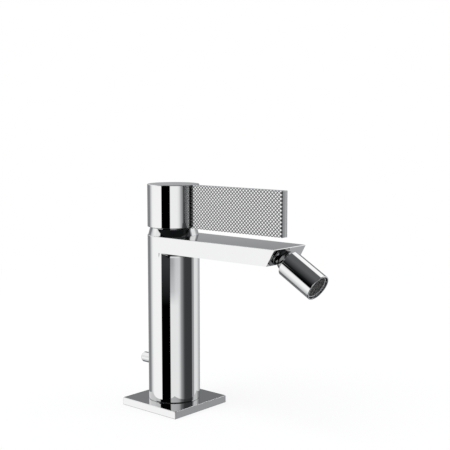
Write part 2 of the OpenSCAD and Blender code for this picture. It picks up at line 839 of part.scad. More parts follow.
base_plate();
base_gasket();
body();
inlet_foot();
supply_tubes();
base_seals();
cartridge_base();
fixed_disc();
cartridge_sleeve();
retaining_nut();
dome_cover();
ball_bolt();
ball_seal();
rod_guide();
carriage();
pivot_pin();
moving_disc();
disc_carrier();
stem();
knob();
lever_plate();
grip_panels();
lever_screw();
grub_screw();
screw_plug();
ball_washer();
swivel_ball();
nozzle_shell();
aerator_seal();
aerator_housing();
aerator_diffuser();
aerator_screen();
lift_rod();
waste_knob();
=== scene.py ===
"""Looks of a single-lever bidet mixer in polished chrome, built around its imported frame.

Each sub-assembly is a class that reads its sizes from the frame, builds finely meshed skins for what shows,
and dresses them and the carried-over inner pieces with procedural finishes. A small studio lights them.
"""

import json
import logging
import math
from dataclasses import dataclass, field
from enum import Enum
from typing import Callable, Iterable, Sequence

import bmesh
import bpy
from mathutils import Matrix, Vector

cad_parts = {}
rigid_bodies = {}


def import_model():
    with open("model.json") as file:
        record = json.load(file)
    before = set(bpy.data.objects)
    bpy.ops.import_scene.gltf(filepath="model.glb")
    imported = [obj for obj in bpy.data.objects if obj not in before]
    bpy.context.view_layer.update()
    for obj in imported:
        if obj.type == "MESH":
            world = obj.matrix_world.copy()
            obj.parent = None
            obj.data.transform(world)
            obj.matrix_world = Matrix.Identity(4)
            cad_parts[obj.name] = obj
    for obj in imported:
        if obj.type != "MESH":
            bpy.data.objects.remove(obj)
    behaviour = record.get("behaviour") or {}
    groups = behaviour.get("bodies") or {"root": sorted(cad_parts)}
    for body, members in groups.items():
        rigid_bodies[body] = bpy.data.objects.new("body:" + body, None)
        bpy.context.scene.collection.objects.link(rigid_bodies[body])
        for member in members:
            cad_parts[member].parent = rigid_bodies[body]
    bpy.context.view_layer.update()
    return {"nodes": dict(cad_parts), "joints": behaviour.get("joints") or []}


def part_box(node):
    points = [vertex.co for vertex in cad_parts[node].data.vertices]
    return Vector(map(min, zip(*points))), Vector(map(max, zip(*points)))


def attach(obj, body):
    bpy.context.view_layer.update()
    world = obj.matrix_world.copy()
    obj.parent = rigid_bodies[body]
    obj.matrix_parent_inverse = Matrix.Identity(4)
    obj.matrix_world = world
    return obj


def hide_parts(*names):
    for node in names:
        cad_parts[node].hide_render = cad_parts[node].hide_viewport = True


log = logging.getLogger("bidet_mixer")

# Lengths are in metres.
MM = 0.001
TINY = 1e-7
WELD = 0.01 * MM
# Turn of an edge, in degrees, from which it is rounded.
SHARP_TURN = 50.0
# How much more large flat faces count in the normals than the narrow roundings beside them.
FLAT_WEIGHT = 80
# Turns a form's axis from up to backwards.
REARWARD = Matrix.Rotation(-math.pi / 2, 4, "Y")

Point = tuple[float, float]
Corner = tuple[float, float, float]
Vert = bmesh.types.BMVert
Socket = bpy.types.NodeSocket
Operand = Socket | float


class Turn(Enum):
    """How many flat segments a round piece is given."""

    SMALL = 64
    MEDIUM = 128
    LARGE = 256


class Body(Enum):
    """Rigid bodies of the mixer that pieces ride on."""

    FIXED = "tap_body"
    LEVER = "lever"
    NOZZLE = "nozzle"
    WASTE = "waste"


class Slot(Enum):
    """Material slots of the record that new pieces fill."""

    CHROME = "chrome"
    KNURLED = "knurled_chrome"
    GREY = "grey_plastic"
    STEEL = "steel"


# Outlines and meshes


def arc(centre: Point, radius: float, start: float, stop: float, steps: int) -> list[Point]:
    """Points on a circular arc.

    Args:
        centre: Centre of the circle.
        radius: Its radius.
        start: Angle of the first point, in degrees.
        stop: Angle of the last point, in degrees.
        steps: Number of chords.

    Returns:
        The points in order, both ends included.
    """
    turns = [math.radians(start + (stop - start) * k / steps) for k in range(steps + 1)]
    return [(centre[0] + radius * math.cos(t), centre[1] + radius * math.sin(t)) for t in turns]


def soften(corners: Sequence[Corner], steps: int = 6) -> list[Point]:
    """Rounds the corners of a closed outline.

    Args:
        corners: Points of the outline as x, y and the radius wanted there, where 0 keeps a sharp corner.
        steps: Number of chords in each rounded corner.

    Returns:
        The outline's points.
    """
    outline: list[Point] = []
    count = len(corners)
    for k, (x, y, radius) in enumerate(corners):
        here = Vector((x, y))
        if radius <= 0:
            outline.append((x, y))
            continue
        back = Vector(corners[k - 1][:2]) - here
        ahead = Vector(corners[(k + 1) % count][:2]) - here
        half = back.angle(ahead) / 2
        reach = min(radius / math.tan(half), 0.49 * back.length, 0.49 * ahead.length)
        radius = reach * math.tan(half)
        towards = (back.normalized() + ahead.normalized()).normalized()
        centre = here + towards * (radius / math.sin(half))
        first = here + back.normalized() * reach - centre
        last = here + ahead.normalized() * reach - centre
        sweep = first.angle_signed(last)
        for step in range(steps + 1):
            spoke = first.copy()
            spoke.rotate(Matrix.Rotation(-sweep * step / steps, 2))
            outline.append((centre.x + spoke.x, centre.y + spoke.y))
    return outline


def bridge(mesh: bmesh.types.BMesh, low: Sequence[Vert], high: Sequence[Vert], closed: bool = True) -> None:
    """Joins two rows of vertices with faces; a row of one vertex is a pole.

    Args:
        mesh: Mesh that holds the vertices.
        low: First row.
        high: Second row, of the same count or one vertex.
        closed: Whether the rows are rings.
    """
    count = max(len(low), len(high))
    for k in range(count if closed else count - 1):
        n = (k + 1) % count
        loop = [low[k % len(low)], low[n % len(low)], high[n % len(high)], high[k % len(high)]]
        add_face(mesh, loop)


def add_face(mesh: bmesh.types.BMesh, loop: Iterable[Vert]) -> None:
    """Adds a face after dropping repeated vertices; fewer than three make none.

    Args:
        mesh: Mesh that holds the vertices.
        loop: Vertices in order round the face.
    """
    corners = list(dict.fromkeys(loop))
    if len(corners) > 2:
        mesh.faces.new(corners)


def revolve(
    outline: Sequence[Point], turn: Turn = Turn.LARGE, place: Matrix = Matrix.Identity(4), closed: bool = True
) -> bmesh.types.BMesh:
    """Turns an outline about its own axis.

    Args:
        outline: Points as radius and height.
        turn: Number of segments round the axis.
        place: Where the axis and its zero height go.
        closed: Whether the last point joins the first.

    Returns:
        A mesh of the turned surface, in metres if the outline is.
    """
    mesh = bmesh.new()
    rows = []
    for radius, height in outline:
        if radius < TINY:
            rows.append([mesh.verts.new(place @ Vector((0, 0, height)))])
            continue
        spokes = [2 * math.pi * k / turn.value for k in range(turn.value)]
        points = [Vector((radius * math.cos(t), radius * math.sin(t), height)) for t in spokes]
        rows.append([mesh.verts.new(place @ p) for p in points])
    for low, high in zip(rows, rows[1:] + rows[:1] if closed else rows[1:]):
        bridge(mesh, low, high)
    return mesh


def prism(*ends: Sequence[Corner]) -> bmesh.types.BMesh:
    """Closes two outlines into a solid.

    Args:
        *ends: Corners of each end, as many on both and in the same order.

    Returns:
        The mesh.
    """
    mesh = bmesh.new()
    rows = [[mesh.verts.new(corner) for corner in end] for end in ends]
    for row in rows:
        add_face(mesh, row)
    bridge(mesh, *rows)
    return mesh


def polar(mesh: bmesh.types.BMesh, turn: float, radius: float, height: float) -> Vert:
    """Adds a vertex given by its angle, radius and height."""
    return mesh.verts.new((radius * math.cos(turn), radius * math.sin(turn), height))


def as_object(name: str, mesh: bmesh.types.BMesh, smooth: bool = True) -> bpy.types.Object:
    """Makes an object of a mesh, with its faces turned outwards.

    Args:
        name: Name of the object.
        mesh: Its mesh, which is freed.
        smooth: Whether its faces are shaded smooth.

    Returns:
        The object, linked to the scene.
    """
    bmesh.ops.recalc_face_normals(mesh, faces=mesh.faces)
    for face in mesh.faces:
        face.smooth = smooth
    data = bpy.data.meshes.new(name)
    mesh.to_mesh(data)
    mesh.free()
    piece = bpy.data.objects.new(name, data)
    bpy.context.scene.collection.objects.link(piece)
    return piece


def add_bevel(
    piece: bpy.types.Object,
    width: float,
    segments: int = 3,
    over: float = SHARP_TURN,
    by_weight: bool = False,
) -> None:
    """Rounds the edges of a piece.

    Args:
        piece: Object to round.
        width: Width of the rounding, in metres.
        segments: Number of faces across it.
        over: Least turn of an edge that is rounded, in degrees.
        by_weight: Whether each edge's own weight sets its share of the width instead.
    """
    bevel = piece.modifiers.new("edge_rounding", "BEVEL")
    bevel.width = width
    bevel.segments = segments
    bevel.limit_method = "WEIGHT" if by_weight else "ANGLE"
    bevel.angle_limit = math.radians(over)
    bevel.use_clamp_overlap = not by_weight


def add_cut(piece: bpy.types.Object, cutter: bpy.types.Object) -> None:
    """Cuts one object out of another.

    Args:
        piece: Object that is cut.
        cutter: Object whose shape is taken away.
    """
    cut = piece.modifiers.new("cut_" + cutter.name, "BOOLEAN")
    cut.operation = "DIFFERENCE"
    cut.solver = "EXACT"
    cut.object = cutter


def settle(piece: bpy.types.Object, cutters: Sequence[bpy.types.Object] = (), sharp: float = 32) -> None:
    """Applies a piece's modifiers, removes its cutters, and sets clean normals on flats and rounds.

    Args:
        piece: Object to finish.
        cutters: Objects that were only there to cut.
        sharp: Turn of an edge, in degrees, from which it is shaded sharp.
    """
    depsgraph = bpy.context.evaluated_depsgraph_get()
    data = bpy.data.meshes.new_from_object(piece.evaluated_get(depsgraph))
    piece.modifiers.clear()
    piece.data = data
    for cutter in cutters:
        bpy.data.objects.remove(cutter)
    data.set_sharp_from_angle(angle=math.radians(sharp))
    weighting = piece.modifiers.new("flat_normals", "WEIGHTED_NORMAL")
    weighting.keep_sharp = True
    weighting.weight = FLAT_WEIGHT


# Finishes


class SocketKind(Enum):
    """Kinds of socket that the shared shader groups have."""

    VALUE = "NodeSocketFloat"
    COLOUR = "NodeSocketColor"


class Texture(Enum):
    """Surface effects that finishes share."""

    POLISH = "polish_film"
    TURNING = "turning_marks"
    MOULDING = "moulded_skin"


class Graph:
    """Short way to add nodes and links to a node tree."""

    def __init__(self, tree: bpy.types.NodeTree) -> None:
        """Starts on an empty tree."""
        self.tree = tree
        tree.nodes.clear()

    def add(self, kind: str, **values: object) -> bpy.types.Node:
        """Adds a node.

        Args:
            kind: Blender's name of the node type.
            **values: Attributes of the node.

        Returns:
            The node.
        """
        node = self.tree.nodes.new(kind)
        for key, value in values.items():
            setattr(node, key, value)
        return node

    def join(self, start: Socket, end: Socket) -> None:
        """Links an output to an input."""
        self.tree.links.new(start, end)

    def feed(self, value: Operand, end: Socket) -> None:
        """Gives an input its value.

        Args:
            value: Socket to link, or a number to set.
            end: The input.
        """
        if isinstance(value, Socket):
            self.join(value, end)
        else:
            end.default_value = value

    def math(self, operation: str, a: Operand, b: Operand = 0.0) -> Socket:
        """Adds a math node.

        Args:
            operation: Blender's name of the operation.
            a: First operand, a socket or a number.
            b: Second operand, a socket or a number.

        Returns:
            The result's socket.
        """
        node = self.add("ShaderNodeMath", operation=operation)
        for socket, value in zip(node.inputs, (a, b)):
            self.feed(value, socket)
        return node.outputs[0]

    def noise(self, scale: Operand, detail: float = 3.0, stretch: Sequence[float] = (1, 1, 1)) -> Socket:
        """Adds noise in the piece's own coordinates.

        Args:
            scale: Features to a metre, a socket or a number.
            detail: Octaves of finer noise.
            stretch: Scale along each axis.

        Returns:
            The noise value's socket.
        """
        coords = self.add("ShaderNodeTexCoord")
        spread = self.add("ShaderNodeMapping")
        spread.inputs["Scale"].default_value = stretch
        node = self.add("ShaderNodeTexNoise")
        node.inputs["Detail"].default_value = detail
        self.join(coords.outputs["Object"], spread.inputs["Vector"])
        self.join(spread.outputs["Vector"], node.inputs["Vector"])
        self.feed(scale, node.inputs["Scale"])
        return node.outputs["Fac"]

    def between(self, mask: Socket, low: Operand, high: Operand) -> Socket:
        """Maps a mask on the span between two values.

        Args:
            mask: Mask from 0 to 1.
            low: Value where the mask is 0, a socket or a number.
            high: Value where it is 1, a socket or a number.

        Returns:
            The value's socket.
        """
        node = self.add("ShaderNodeMapRange")
        self.join(mask, node.inputs["Value"])
        self.feed(low, node.inputs["To Min"])
        self.feed(high, node.inputs["To Max"])
        return node.outputs["Result"]

    def blend(self, mask: Socket, first: Socket, second: Socket | Sequence[float]) -> Socket:
        """Mixes two colours.

        Args:
            mask: Share of the second colour.
            first: First colour.
            second: Second colour, a socket or its four values.

        Returns:
            The mixed colour's socket.
        """
        node = self.add("ShaderNodeMix", data_type="RGBA")
        self.join(mask, node.inputs[0])
        self.join(first, node.inputs[6])
        self.feed(second, node.inputs[7])
        return node.outputs[2]


class Effects:
    """Shader groups that several finishes share, each built once."""

    def __init__(self) -> None:
        """Builds every group."""
        fills = {
            Texture.POLISH: self._polish,
            Texture.TURNING: self._turning,
            Texture.MOULDING: self._moulding,
        }
        self.groups = {texture: self._group(texture.value, fill) for texture, fill in fills.items()}

    @staticmethod
    def _group(name: str, fill: Callable[[Graph, Socket], tuple[Socket, Socket]]) -> bpy.types.NodeTree:
        """Makes a group with two colours, a scale and a span of roughness as inputs.

        Args:
            name: Name of the group.
            fill: Method that adds the group's nodes and returns its mask and height.

        Returns:
            The group, whose outputs are Colour, Roughness and Height.
        """
        tree = bpy.data.node_groups.new(name, "ShaderNodeTree")
        graph = Graph(tree)
        for title, kind, start in (
            ("Colour", SocketKind.COLOUR, (0.8, 0.8, 0.8, 1)),
            ("Film Colour", SocketKind.COLOUR, (0.7, 0.7, 0.7, 1)),
            ("Scale", SocketKind.VALUE, 100.0),
            ("Least Roughness", SocketKind.VALUE, 0.1),
            ("Most Roughness", SocketKind.VALUE, 0.2),
        ):
            socket = tree.interface.new_socket(title, in_out="INPUT", socket_type=kind.value)
            socket.default_value = start
        tree.interface.new_socket("Colour", in_out="OUTPUT", socket_type=SocketKind.COLOUR.value)
        tree.interface.new_socket("Roughness", in_out="OUTPUT", socket_type=SocketKind.VALUE.value)
        tree.interface.new_socket("Height", in_out="OUTPUT", socket_type=SocketKind.VALUE.value)
        inputs = graph.add("NodeGroupInput").outputs
        outputs = graph.add("NodeGroupOutput").inputs
        mask, height = fill(graph, inputs["Scale"])
        graph.join(graph.blend(mask, inputs["Colour"], inputs["Film Colour"]), outputs["Colour"])
        rough = graph.between(mask, inputs["Least Roughness"], inputs["Most Roughness"])
        graph.join(rough, outputs["Roughness"])
        graph.join(height, outputs["Height"])
        return tree

    @staticmethod
    def _polish(graph: Graph, scale: Socket) -> tuple[Socket, Socket]:
        """Soft patches of a thin film, and hair-fine polishing lines.

        Args:
            graph: The group's nodes.
            scale: Features to a metre.

        Returns:
            Sockets of the mask and the height.
        """
        patches = graph.noise(scale, 2.0)
        lines = graph.noise(graph.math("MULTIPLY", scale, 40.0), 1.0, (1, 1, 0.04))
        return patches, lines

    @staticmethod
    def _turning(graph: Graph, scale: Socket) -> tuple[Socket, Socket]:
        """Rings that a lathe tool leaves, broken by noise.

        Args:
            graph: The group's nodes.
            scale: Features to a metre.

        Returns:
            Sockets of the mask and the height.
        """
        coords = graph.add("ShaderNodeTexCoord")
        rings = graph.add("ShaderNodeTexWave", wave_type="RINGS", rings_direction="Z")
        rings.inputs["Distortion"].default_value = 0.6
        graph.join(coords.outputs["Object"], rings.inputs["Vector"])
        graph.join(graph.math("MULTIPLY", scale, 8.0), rings.inputs["Scale"])
        mask = graph.math("MULTIPLY", graph.noise(scale, 4.0), rings.outputs["Fac"])
        return mask, rings.outputs["Fac"]

    @staticmethod
    def _moulding(graph: Graph, scale: Socket) -> tuple[Socket, Socket]:
        """Fine grain of a moulded surface over slow clouding.

        Args:
            graph: The group's nodes.
            scale: Features to a metre.

        Returns:
            Sockets of the mask and the height.
        """
        clouds = graph.noise(graph.math("MULTIPLY", scale, 0.1), 3.0)
        grain = graph.noise(scale, 5.0)
        return clouds, grain


@dataclass(frozen=True)
class Finish:
    """Surface finish of a piece."""

    name: str
    effect: Texture
    colour: tuple[float, float, float]
    film: tuple[float, float, float]
    rough: tuple[float, float]
    scale: float
    metallic: float = 0.0
    bump: float = 0.02
    depth: float = 2e-6
    ior: float = 1.5

    def material(self, effects: Effects) -> bpy.types.Material:
        """Builds the material once and returns it afterwards.

        Args:
            effects: Shared shader groups.

        Returns:
            The material.
        """
        known = bpy.data.materials.get(self.name)
        if known:
            return known
        made = bpy.data.materials.new(self.name)
        made.use_nodes = True
        graph = Graph(made.node_tree)
        surface = graph.add("ShaderNodeBsdfPrincipled")
        surface.inputs["Metallic"].default_value = self.metallic
        surface.inputs["IOR"].default_value = self.ior
        group = graph.add("ShaderNodeGroup", node_tree=effects.groups[self.effect])
        group.inputs["Colour"].default_value = (*self.colour, 1)
        group.inputs["Film Colour"].default_value = (*self.film, 1)
        group.inputs["Scale"].default_value = self.scale
        group.inputs["Least Roughness"].default_value = self.rough[0]
        group.inputs["Most Roughness"].default_value = self.rough[1]
        relief = graph.add("ShaderNodeBump")
        relief.inputs["Strength"].default_value = self.bump
        relief.inputs["Distance"].default_value = self.depth
        graph.join(group.outputs["Colour"], surface.inputs["Base Color"])
        graph.join(group.outputs["Roughness"], surface.inputs["Roughness"])
        graph.join(group.outputs["Height"], relief.inputs["Height"])
        graph.join(relief.outputs["Normal"], surface.inputs["Normal"])
        output = graph.add("ShaderNodeOutputMaterial")
        graph.join(surface.outputs["BSDF"], output.inputs["Surface"])
        return made


CHROME = Finish(
    "polished_chrome",
    Texture.POLISH,
    colour=(0.55, 0.554, 0.558),
    film=(0.54, 0.543, 0.546),
    rough=(0.008, 0.014),
    scale=60,
    metallic=1.0,
    bump=0.002,
)
KNURL_CHROME = Finish(
    "knurl_pads",
    Texture.POLISH,
    colour=(0.55, 0.554, 0.558),
    film=(0.53, 0.533, 0.536),
    rough=(0.008, 0.02),
    scale=300,
    metallic=1.0,
    bump=0.002,
)
# Knurl groove walls: the darker base colour is painted shade in the grooves between the pads; the higher
# roughness is the walls' own surface.
GROOVE_SHADE_CHROME = Finish(
    "knurl_grooves_painted_shade",
    Texture.POLISH,
    colour=(0.36, 0.362, 0.365),
    film=(0.3, 0.302, 0.305),
    rough=(0.05, 0.12),
    scale=900,
    metallic=1.0,
    bump=0.002,
)
# Swivel ball: the darker base colour is painted shade of its pocket between the spout's tip and the nozzle;
# the ball itself is plain chrome.
BALL_SHADE_CHROME = Finish(
    "ball_chrome_painted_shade",
    Texture.POLISH,
    colour=(0.3, 0.302, 0.305),
    film=(0.27, 0.271, 0.273),
    rough=(0.02, 0.05),
    scale=90,
    metallic=1.0,
    bump=0.002,
)
BRASS = Finish(
    "turned_brass",
    Texture.TURNING,
    colour=(0.68, 0.49, 0.2),
    film=(0.5, 0.34, 0.13),
    rough=(0.22, 0.4),
    scale=240,
    metallic=1.0,
    bump=0.15,
)
COPPER = Finish(
    "drawn_copper",
    Texture.POLISH,
    colour=(0.7, 0.36, 0.22),
    film=(0.5, 0.25, 0.15),
    rough=(0.2, 0.35),
    scale=80,
    metallic=1.0,
    bump=0.1,
)
STEEL = Finish(
    "bright_steel",
    Texture.TURNING,
    colour=(0.6, 0.61, 0.62),
    film=(0.45, 0.45, 0.46),
    rough=(0.2, 0.36),
    scale=300,
    metallic=1.0,
    bump=0.12,
)
MESH_STEEL = Finish(
    "screen_wire",
    Texture.POLISH,
    colour=(0.3, 0.3, 0.305),
    film=(0.2, 0.2, 0.2),
    rough=(0.3, 0.45),
    scale=500,
    metallic=1.0,
    bump=0.05,
)
RUBBER = Finish(
    "seal_rubber",
    Texture.MOULDING,
    colour=(0.02, 0.02, 0.022),
    film=(0.035, 0.035, 0.036),
    rough=(0.5, 0.75),
    scale=1500,
    bump=0.25,
)
CERAMIC = Finish(
    "lapped_ceramic",
    Texture.POLISH,
    colour=(0.84, 0.84, 0.8),
    film=(0.78, 0.78, 0.74),
    rough=(0.08, 0.16),
    scale=90,
)
WHITE_PLASTIC = Finish(
    "white_moulding",
    Texture.MOULDING,
    colour=(0.8, 0.8, 0.76),
    film=(0.72, 0.72, 0.68),
    rough=(0.35, 0.5),
    scale=1200,
)
GREY_PLASTIC = Finish(
    "grey_moulding",
    Texture.MOULDING,
    colour=(0.4, 0.405, 0.41),
    film=(0.33, 0.33, 0.34),
    rough=(0.3, 0.45),
    scale=1200,
)

NODE_FINISHES: dict[str, Finish] = {
    "base_gasket": RUBBER,
    "inlet_foot": BRASS,
    "supply_tubes": COPPER,
    "base_seals": RUBBER,
    "cartridge_base": WHITE_PLASTIC,
    "fixed_disc": CERAMIC,
    "cartridge_sleeve": GREY_PLASTIC,
    "retaining_nut": BRASS,
    "ball_bolt": BRASS,
    "ball_seal": RUBBER,
    "rod_guide": WHITE_PLASTIC,
    "carriage": WHITE_PLASTIC,
    "pivot_pin": STEEL,
    "moving_disc": CERAMIC,
    "disc_carrier": GREY_PLASTIC,
    "stem": STEEL,
    "lever_screw": STEEL,
    "grub_screw": STEEL,
    "ball_washer": WHITE_PLASTIC,
    "aerator_seal": RUBBER,
    "aerator_diffuser": WHITE_PLASTIC,
    "lift_rod": STEEL,
}


def dress(
    piece: bpy.types.Object, body: Body, finish: Finish, effects: Effects, nodes: Sequence[str]
) -> None:
    """Gives a new piece its finish, its body and the frame nodes that it stands for.

    Args:
        piece: The piece.
        body: Body that it rides on.
        finish: Its finish.
        effects: Shared shader groups.
        nodes: Frame nodes that it replaces.
    """
    piece.data.materials.clear()
    piece.data.materials.append(finish.material(effects))
    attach(piece, body.value)
    if nodes:
        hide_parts(*nodes)
    log.info("%s rides on %s in %s", piece.name, body.value, finish.name)


# Sub-assemblies


@dataclass
class BasePlate:
    """Square plate under the column, with the seal's groove in its underside."""

    effects: Effects
    edge: float = 0.55 * MM
    fit: float = 0.05 * MM
    groove_width: float = 3.7 * MM
    side: float = field(init=False)
    thick: float = field(init=False)
    hole: float = field(init=False)
    groove: tuple[float, float, float] = field(init=False)

    def __post_init__(self) -> None:
        """Reads the plate, foot and gasket from the frame."""
        low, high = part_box("base_plate")
        self.side = high.x - low.x
        self.thick = high.z
        self.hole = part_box("inlet_foot")[1].x + self.fit
        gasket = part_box("base_gasket")[1]
        self.groove = (gasket.x - self.groove_width, gasket.x + self.fit, gasket.z)

    def build(self) -> None:
        """Builds and dresses the plate."""
        mesh = bmesh.new()
        count = Turn.MEDIUM.value
        turns = [2 * math.pi * k / count for k in range(count)]
        reaches = [self.side / 2 / max(abs(math.cos(t)), abs(math.sin(t))) for t in turns]

        def ring(radius: float, height: float) -> list[Vert]:
            """A round row of vertices."""
            return [polar(mesh, turn, radius, height) for turn in turns]

        def square(height: float) -> list[Vert]:
            """A square row of vertices, at the same angles as the rings."""
            return [polar(mesh, turn, reach, height) for turn, reach in zip(turns, reaches)]

        inner, outer, deep = self.groove
        rows = [ring(self.hole, 0), ring(inner, 0), ring(inner, deep), ring(outer, deep), ring(outer, 0)]
        rows += [square(0), square(self.thick), ring(self.hole, self.thick)]
        for low, high in zip(rows, rows[1:] + rows[:1]):
            bridge(mesh, low, high)
        plate = as_object("plate", mesh)
        add_bevel(plate, self.edge)
        settle(plate)
        dress(plate, Body.FIXED, CHROME, self.effects, ["base_plate"])


@dataclass
class ColumnAndSpout:
    """Round column that carries the flat spout bar with its undercut tip.

    The bar's sides are tangent to the column and run in a little towards the tip.
    """

    effects: Effects
    ball: Vector
    axis: Vector
    wall: float = 3 * MM
    tube_socket: float = 5 * MM
    spout_height: float = 12.3 * MM
    tip_width: float = 36 * MM
    fillet: float = 3 * MM
    fillet_steps: int = 10
    row_gap: float = 1 * MM
    edge: float = 0.35 * MM
    tip_edge: float = 0.52 * MM
    pocket_gap: float = 0.35 * MM
    slot_width: float = 4.4 * MM
    slot_travel: float = 20 * MM
    radius: float = field(init=False)
    reach: float = field(init=False)
    foot: float = field(init=False)
    top: float = field(init=False)
    well_top: float = field(init=False)
    taper: float = field(init=False)
    slot_height: float = field(init=False)

    def __post_init__(self) -> None:
        """Reads the body's box, the tubes' top and the waste knob's height from the frame."""
        low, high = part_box("body")
        self.radius = -low.x
        self.reach = high.x
        self.foot = low.z
        self.top = high.z
        self.well_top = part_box("supply_tubes")[1].z - self.tube_socket
        corner = math.hypot(self.reach, self.tip_width / 2)
        self.taper = math.asin(self.radius / corner) - math.atan2(self.tip_width / 2, self.reach)
        knob_low, knob_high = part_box("waste_knob")
        self.slot_height = (knob_low.z + knob_high.z) / 2

    def build(self) -> None:
        """Builds the body, cuts the ball's pocket and the rear slot, and dresses it."""
        piece = as_object("column_and_spout", self._shell())
        add_bevel(piece, self.edge, by_weight=True)
        cutters = [self._pocket(), self._slot()]
        for cutter in cutters:
            add_cut(piece, cutter)
        settle(piece, cutters)
        dress(piece, Body.FIXED, CHROME, self.effects, ["body"])

    def _shell(self) -> bmesh.types.BMesh:
        """Closed mesh of the column, its well and the spout bar.

        Returns:
            The mesh.
        """
        mesh = bmesh.new()
        back, front = self._turns()
        rows = [[polar(mesh, turn, self.radius, z) for turn in back] for z in self._levels()]
        for low, high in zip(rows, rows[1:]):
            bridge(mesh, low, high, closed=False)
        columns = self._front(mesh, front, rows)
        sharp = self._bar(mesh, rows, columns)
        rim = rows[0] + [column[0] for column in columns[1:-1]]
        self._well(mesh, rim, back + front[1:-1])
        self._mark_edges(mesh, rim + rows[-1], sharp)
        return mesh

    def _turns(self) -> tuple[list[float], list[float]]:
        """Angles round the column.

        Returns:
            The angles of the bare back, from seam to seam, and those of the front under the spout.
        """
        seam = math.pi / 2 - self.taper
        count = Turn.LARGE.value
        back_steps = round(count * (1 - seam / math.pi))
        front_steps = count - back_steps
        back = [seam + (2 * math.pi - 2 * seam) * k / back_steps for k in range(back_steps + 1)]
        front = [-seam + 2 * seam * k / front_steps for k in range(front_steps + 1)]
        return back, front

    def _levels(self) -> tuple[float, ...]:
        """Heights of the back's rows.

        Returns:
            Two heights at the foot, those of the fillet and the spout's underside, and two at the top.
        """
        under = self.top - self.spout_height
        guard = under - self.fillet - self.row_gap
        return self.foot, self.foot + self.row_gap, guard, under, self.top - self.row_gap, self.top

    def _front(
        self, mesh: bmesh.types.BMesh, turns: Sequence[float], rows: Sequence[Sequence[Vert]]
    ) -> list[list[Vert]]:
        """Adds the column's front, which runs out into the spout's underside through a fillet.

        Args:
            mesh: Mesh of the body.
            turns: Angles of the front.
            rows: Rows of the back, whose ends the front joins.

        Returns:
            The front's vertices from the foot to the underside, a list for each angle.
        """
        *straight, under = self._levels()[:4]
        steps = self.fillet_steps
        columns = []
        for turn in turns[1:-1]:
            room = self.radius / max(math.sin(abs(turn) + self.taper), TINY) - self.edge - self.radius
            size = min(self.fillet, room)
            column = [polar(mesh, turn, self.radius, z) for z in straight]
            if size < TINY:
                column += [polar(mesh, turn, self.radius, under)] * (steps + 1)
            else:
                curve = arc((self.radius + size, under - size), size, 180, 90, steps)
                column += [polar(mesh, turn, radius, z) for radius, z in curve]
            columns.append(column)
        first, last = ([row[end] for row in rows[:3]] + [rows[3][end]] * (steps + 1) for end in (-1, 0))
        columns = [first, *columns, last]
        for left, right in zip(columns, columns[1:]):
            bridge(mesh, left, right, closed=False)
        return columns

    def _bar(
        self, mesh: bmesh.types.BMesh, rows: Sequence[Sequence[Vert]], columns: Sequence[Sequence[Vert]]
    ) -> set[Vert]:
        """Adds the spout bar with its undercut tip and the flat chamfer over it.

        Args:
            mesh: Mesh of the body.
            rows: Rows of the column's back.
            columns: Vertices of its front.

        Returns:
            The vertices whose edges aren't rounded.
        """
        under, shoulder, upper = rows[3], rows[4], rows[5]
        slant = self.axis.z / self.axis.x
        drop = self.tip_edge * self.axis.x
        tip = []
        for x, z in (
            (self.reach + slant * self.spout_height, self.top - self.spout_height),
            (self.reach + slant * drop, self.top - drop),
            (self.reach - self.tip_edge, self.top),
        ):
            y = (self.radius - x * math.sin(self.taper)) / math.cos(self.taper)
            tip += [mesh.verts.new((x, side * y, z)) for side in (-1, 1)]
        low_right, low_left, brow_right, brow_left, high_right, high_left = tip
        root = [column[-1] for column in reversed(columns)]
        add_face(mesh, [under[-1], low_right, low_left, under[0], *root[1:-1]])
        add_face(mesh, [under[-1], low_right, brow_right, high_right, upper[-1], shoulder[-1]])
        add_face(mesh, [under[0], low_left, brow_left, high_left, upper[0], shoulder[0]])
        add_face(mesh, [low_right, low_left, brow_left, brow_right])
        add_face(mesh, [brow_right, brow_left, high_left, high_right])
        add_face(mesh, [*upper, high_right, high_left])
        return {low_right, low_left, brow_right, brow_left, under[0], under[-1]}

    def _well(self, mesh: bmesh.types.BMesh, rim: Sequence[Vert], turns: Sequence[float]) -> None:
        """Adds the column's hollow.

        Args:
            mesh: Mesh of the body.
            rim: Outer edge of the column's foot.
            turns: Angle of each vertex of the rim.
        """
        inside = self.radius - self.wall
        lower, lid = ([polar(mesh, t, inside, z) for t in turns] for z in (self.foot, self.well_top))
        bridge(mesh, rim, lower)
        bridge(mesh, lower, lid)
        add_face(mesh, lid)

    @staticmethod
    def _mark_edges(mesh: bmesh.types.BMesh, verts: Sequence[Vert], sharp: set[Vert]) -> None:
        """Gives the edges that are to be rounded their weight.

        Args:
            mesh: Mesh of the body.
            verts: Vertices whose edges may be rounded.
            sharp: Vertices whose edges stay sharp.
        """
        bmesh.ops.recalc_face_normals(mesh, faces=mesh.faces)
        weight = mesh.edges.layers.float.new("bevel_weight_edge")
        for edge in {edge for vert in verts for edge in vert.link_edges}:
            if edge.calc_face_angle(0) > math.radians(SHARP_TURN) and not sharp & set(edge.verts):
                edge[weight] = 1.0

    def _pocket(self) -> bpy.types.Object:
        """Makes the ball-shaped cutter for the nozzle's seat.

        Returns:
            The cutter.
        """
        low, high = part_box("swivel_ball")
        radius = (high.y - low.y) / 2 + self.pocket_gap
        outline = arc((0, 0), radius, -90, 90, steps=48)
        mesh = revolve(outline, Turn.MEDIUM, Matrix.Translation(self.ball), closed=False)
        return as_object("pocket_cutter", mesh)

    def _slot(self) -> bpy.types.Object:
        """Makes the cutter for the waste knob's slot in the column's back.

        Returns:
            The cutter.
        """
        half = self.slot_width / 2
        ends = arc((0, 0), half, 180, 360, steps=16) + arc((0, self.slot_travel), half, 0, 180, steps=16)
        depths = (-self.radius - self.wall, -self.radius + 2 * self.wall)
        mesh = prism(*([(x, y, self.slot_height + z) for y, z in ends] for x in depths))
        return as_object("slot_cutter", mesh)


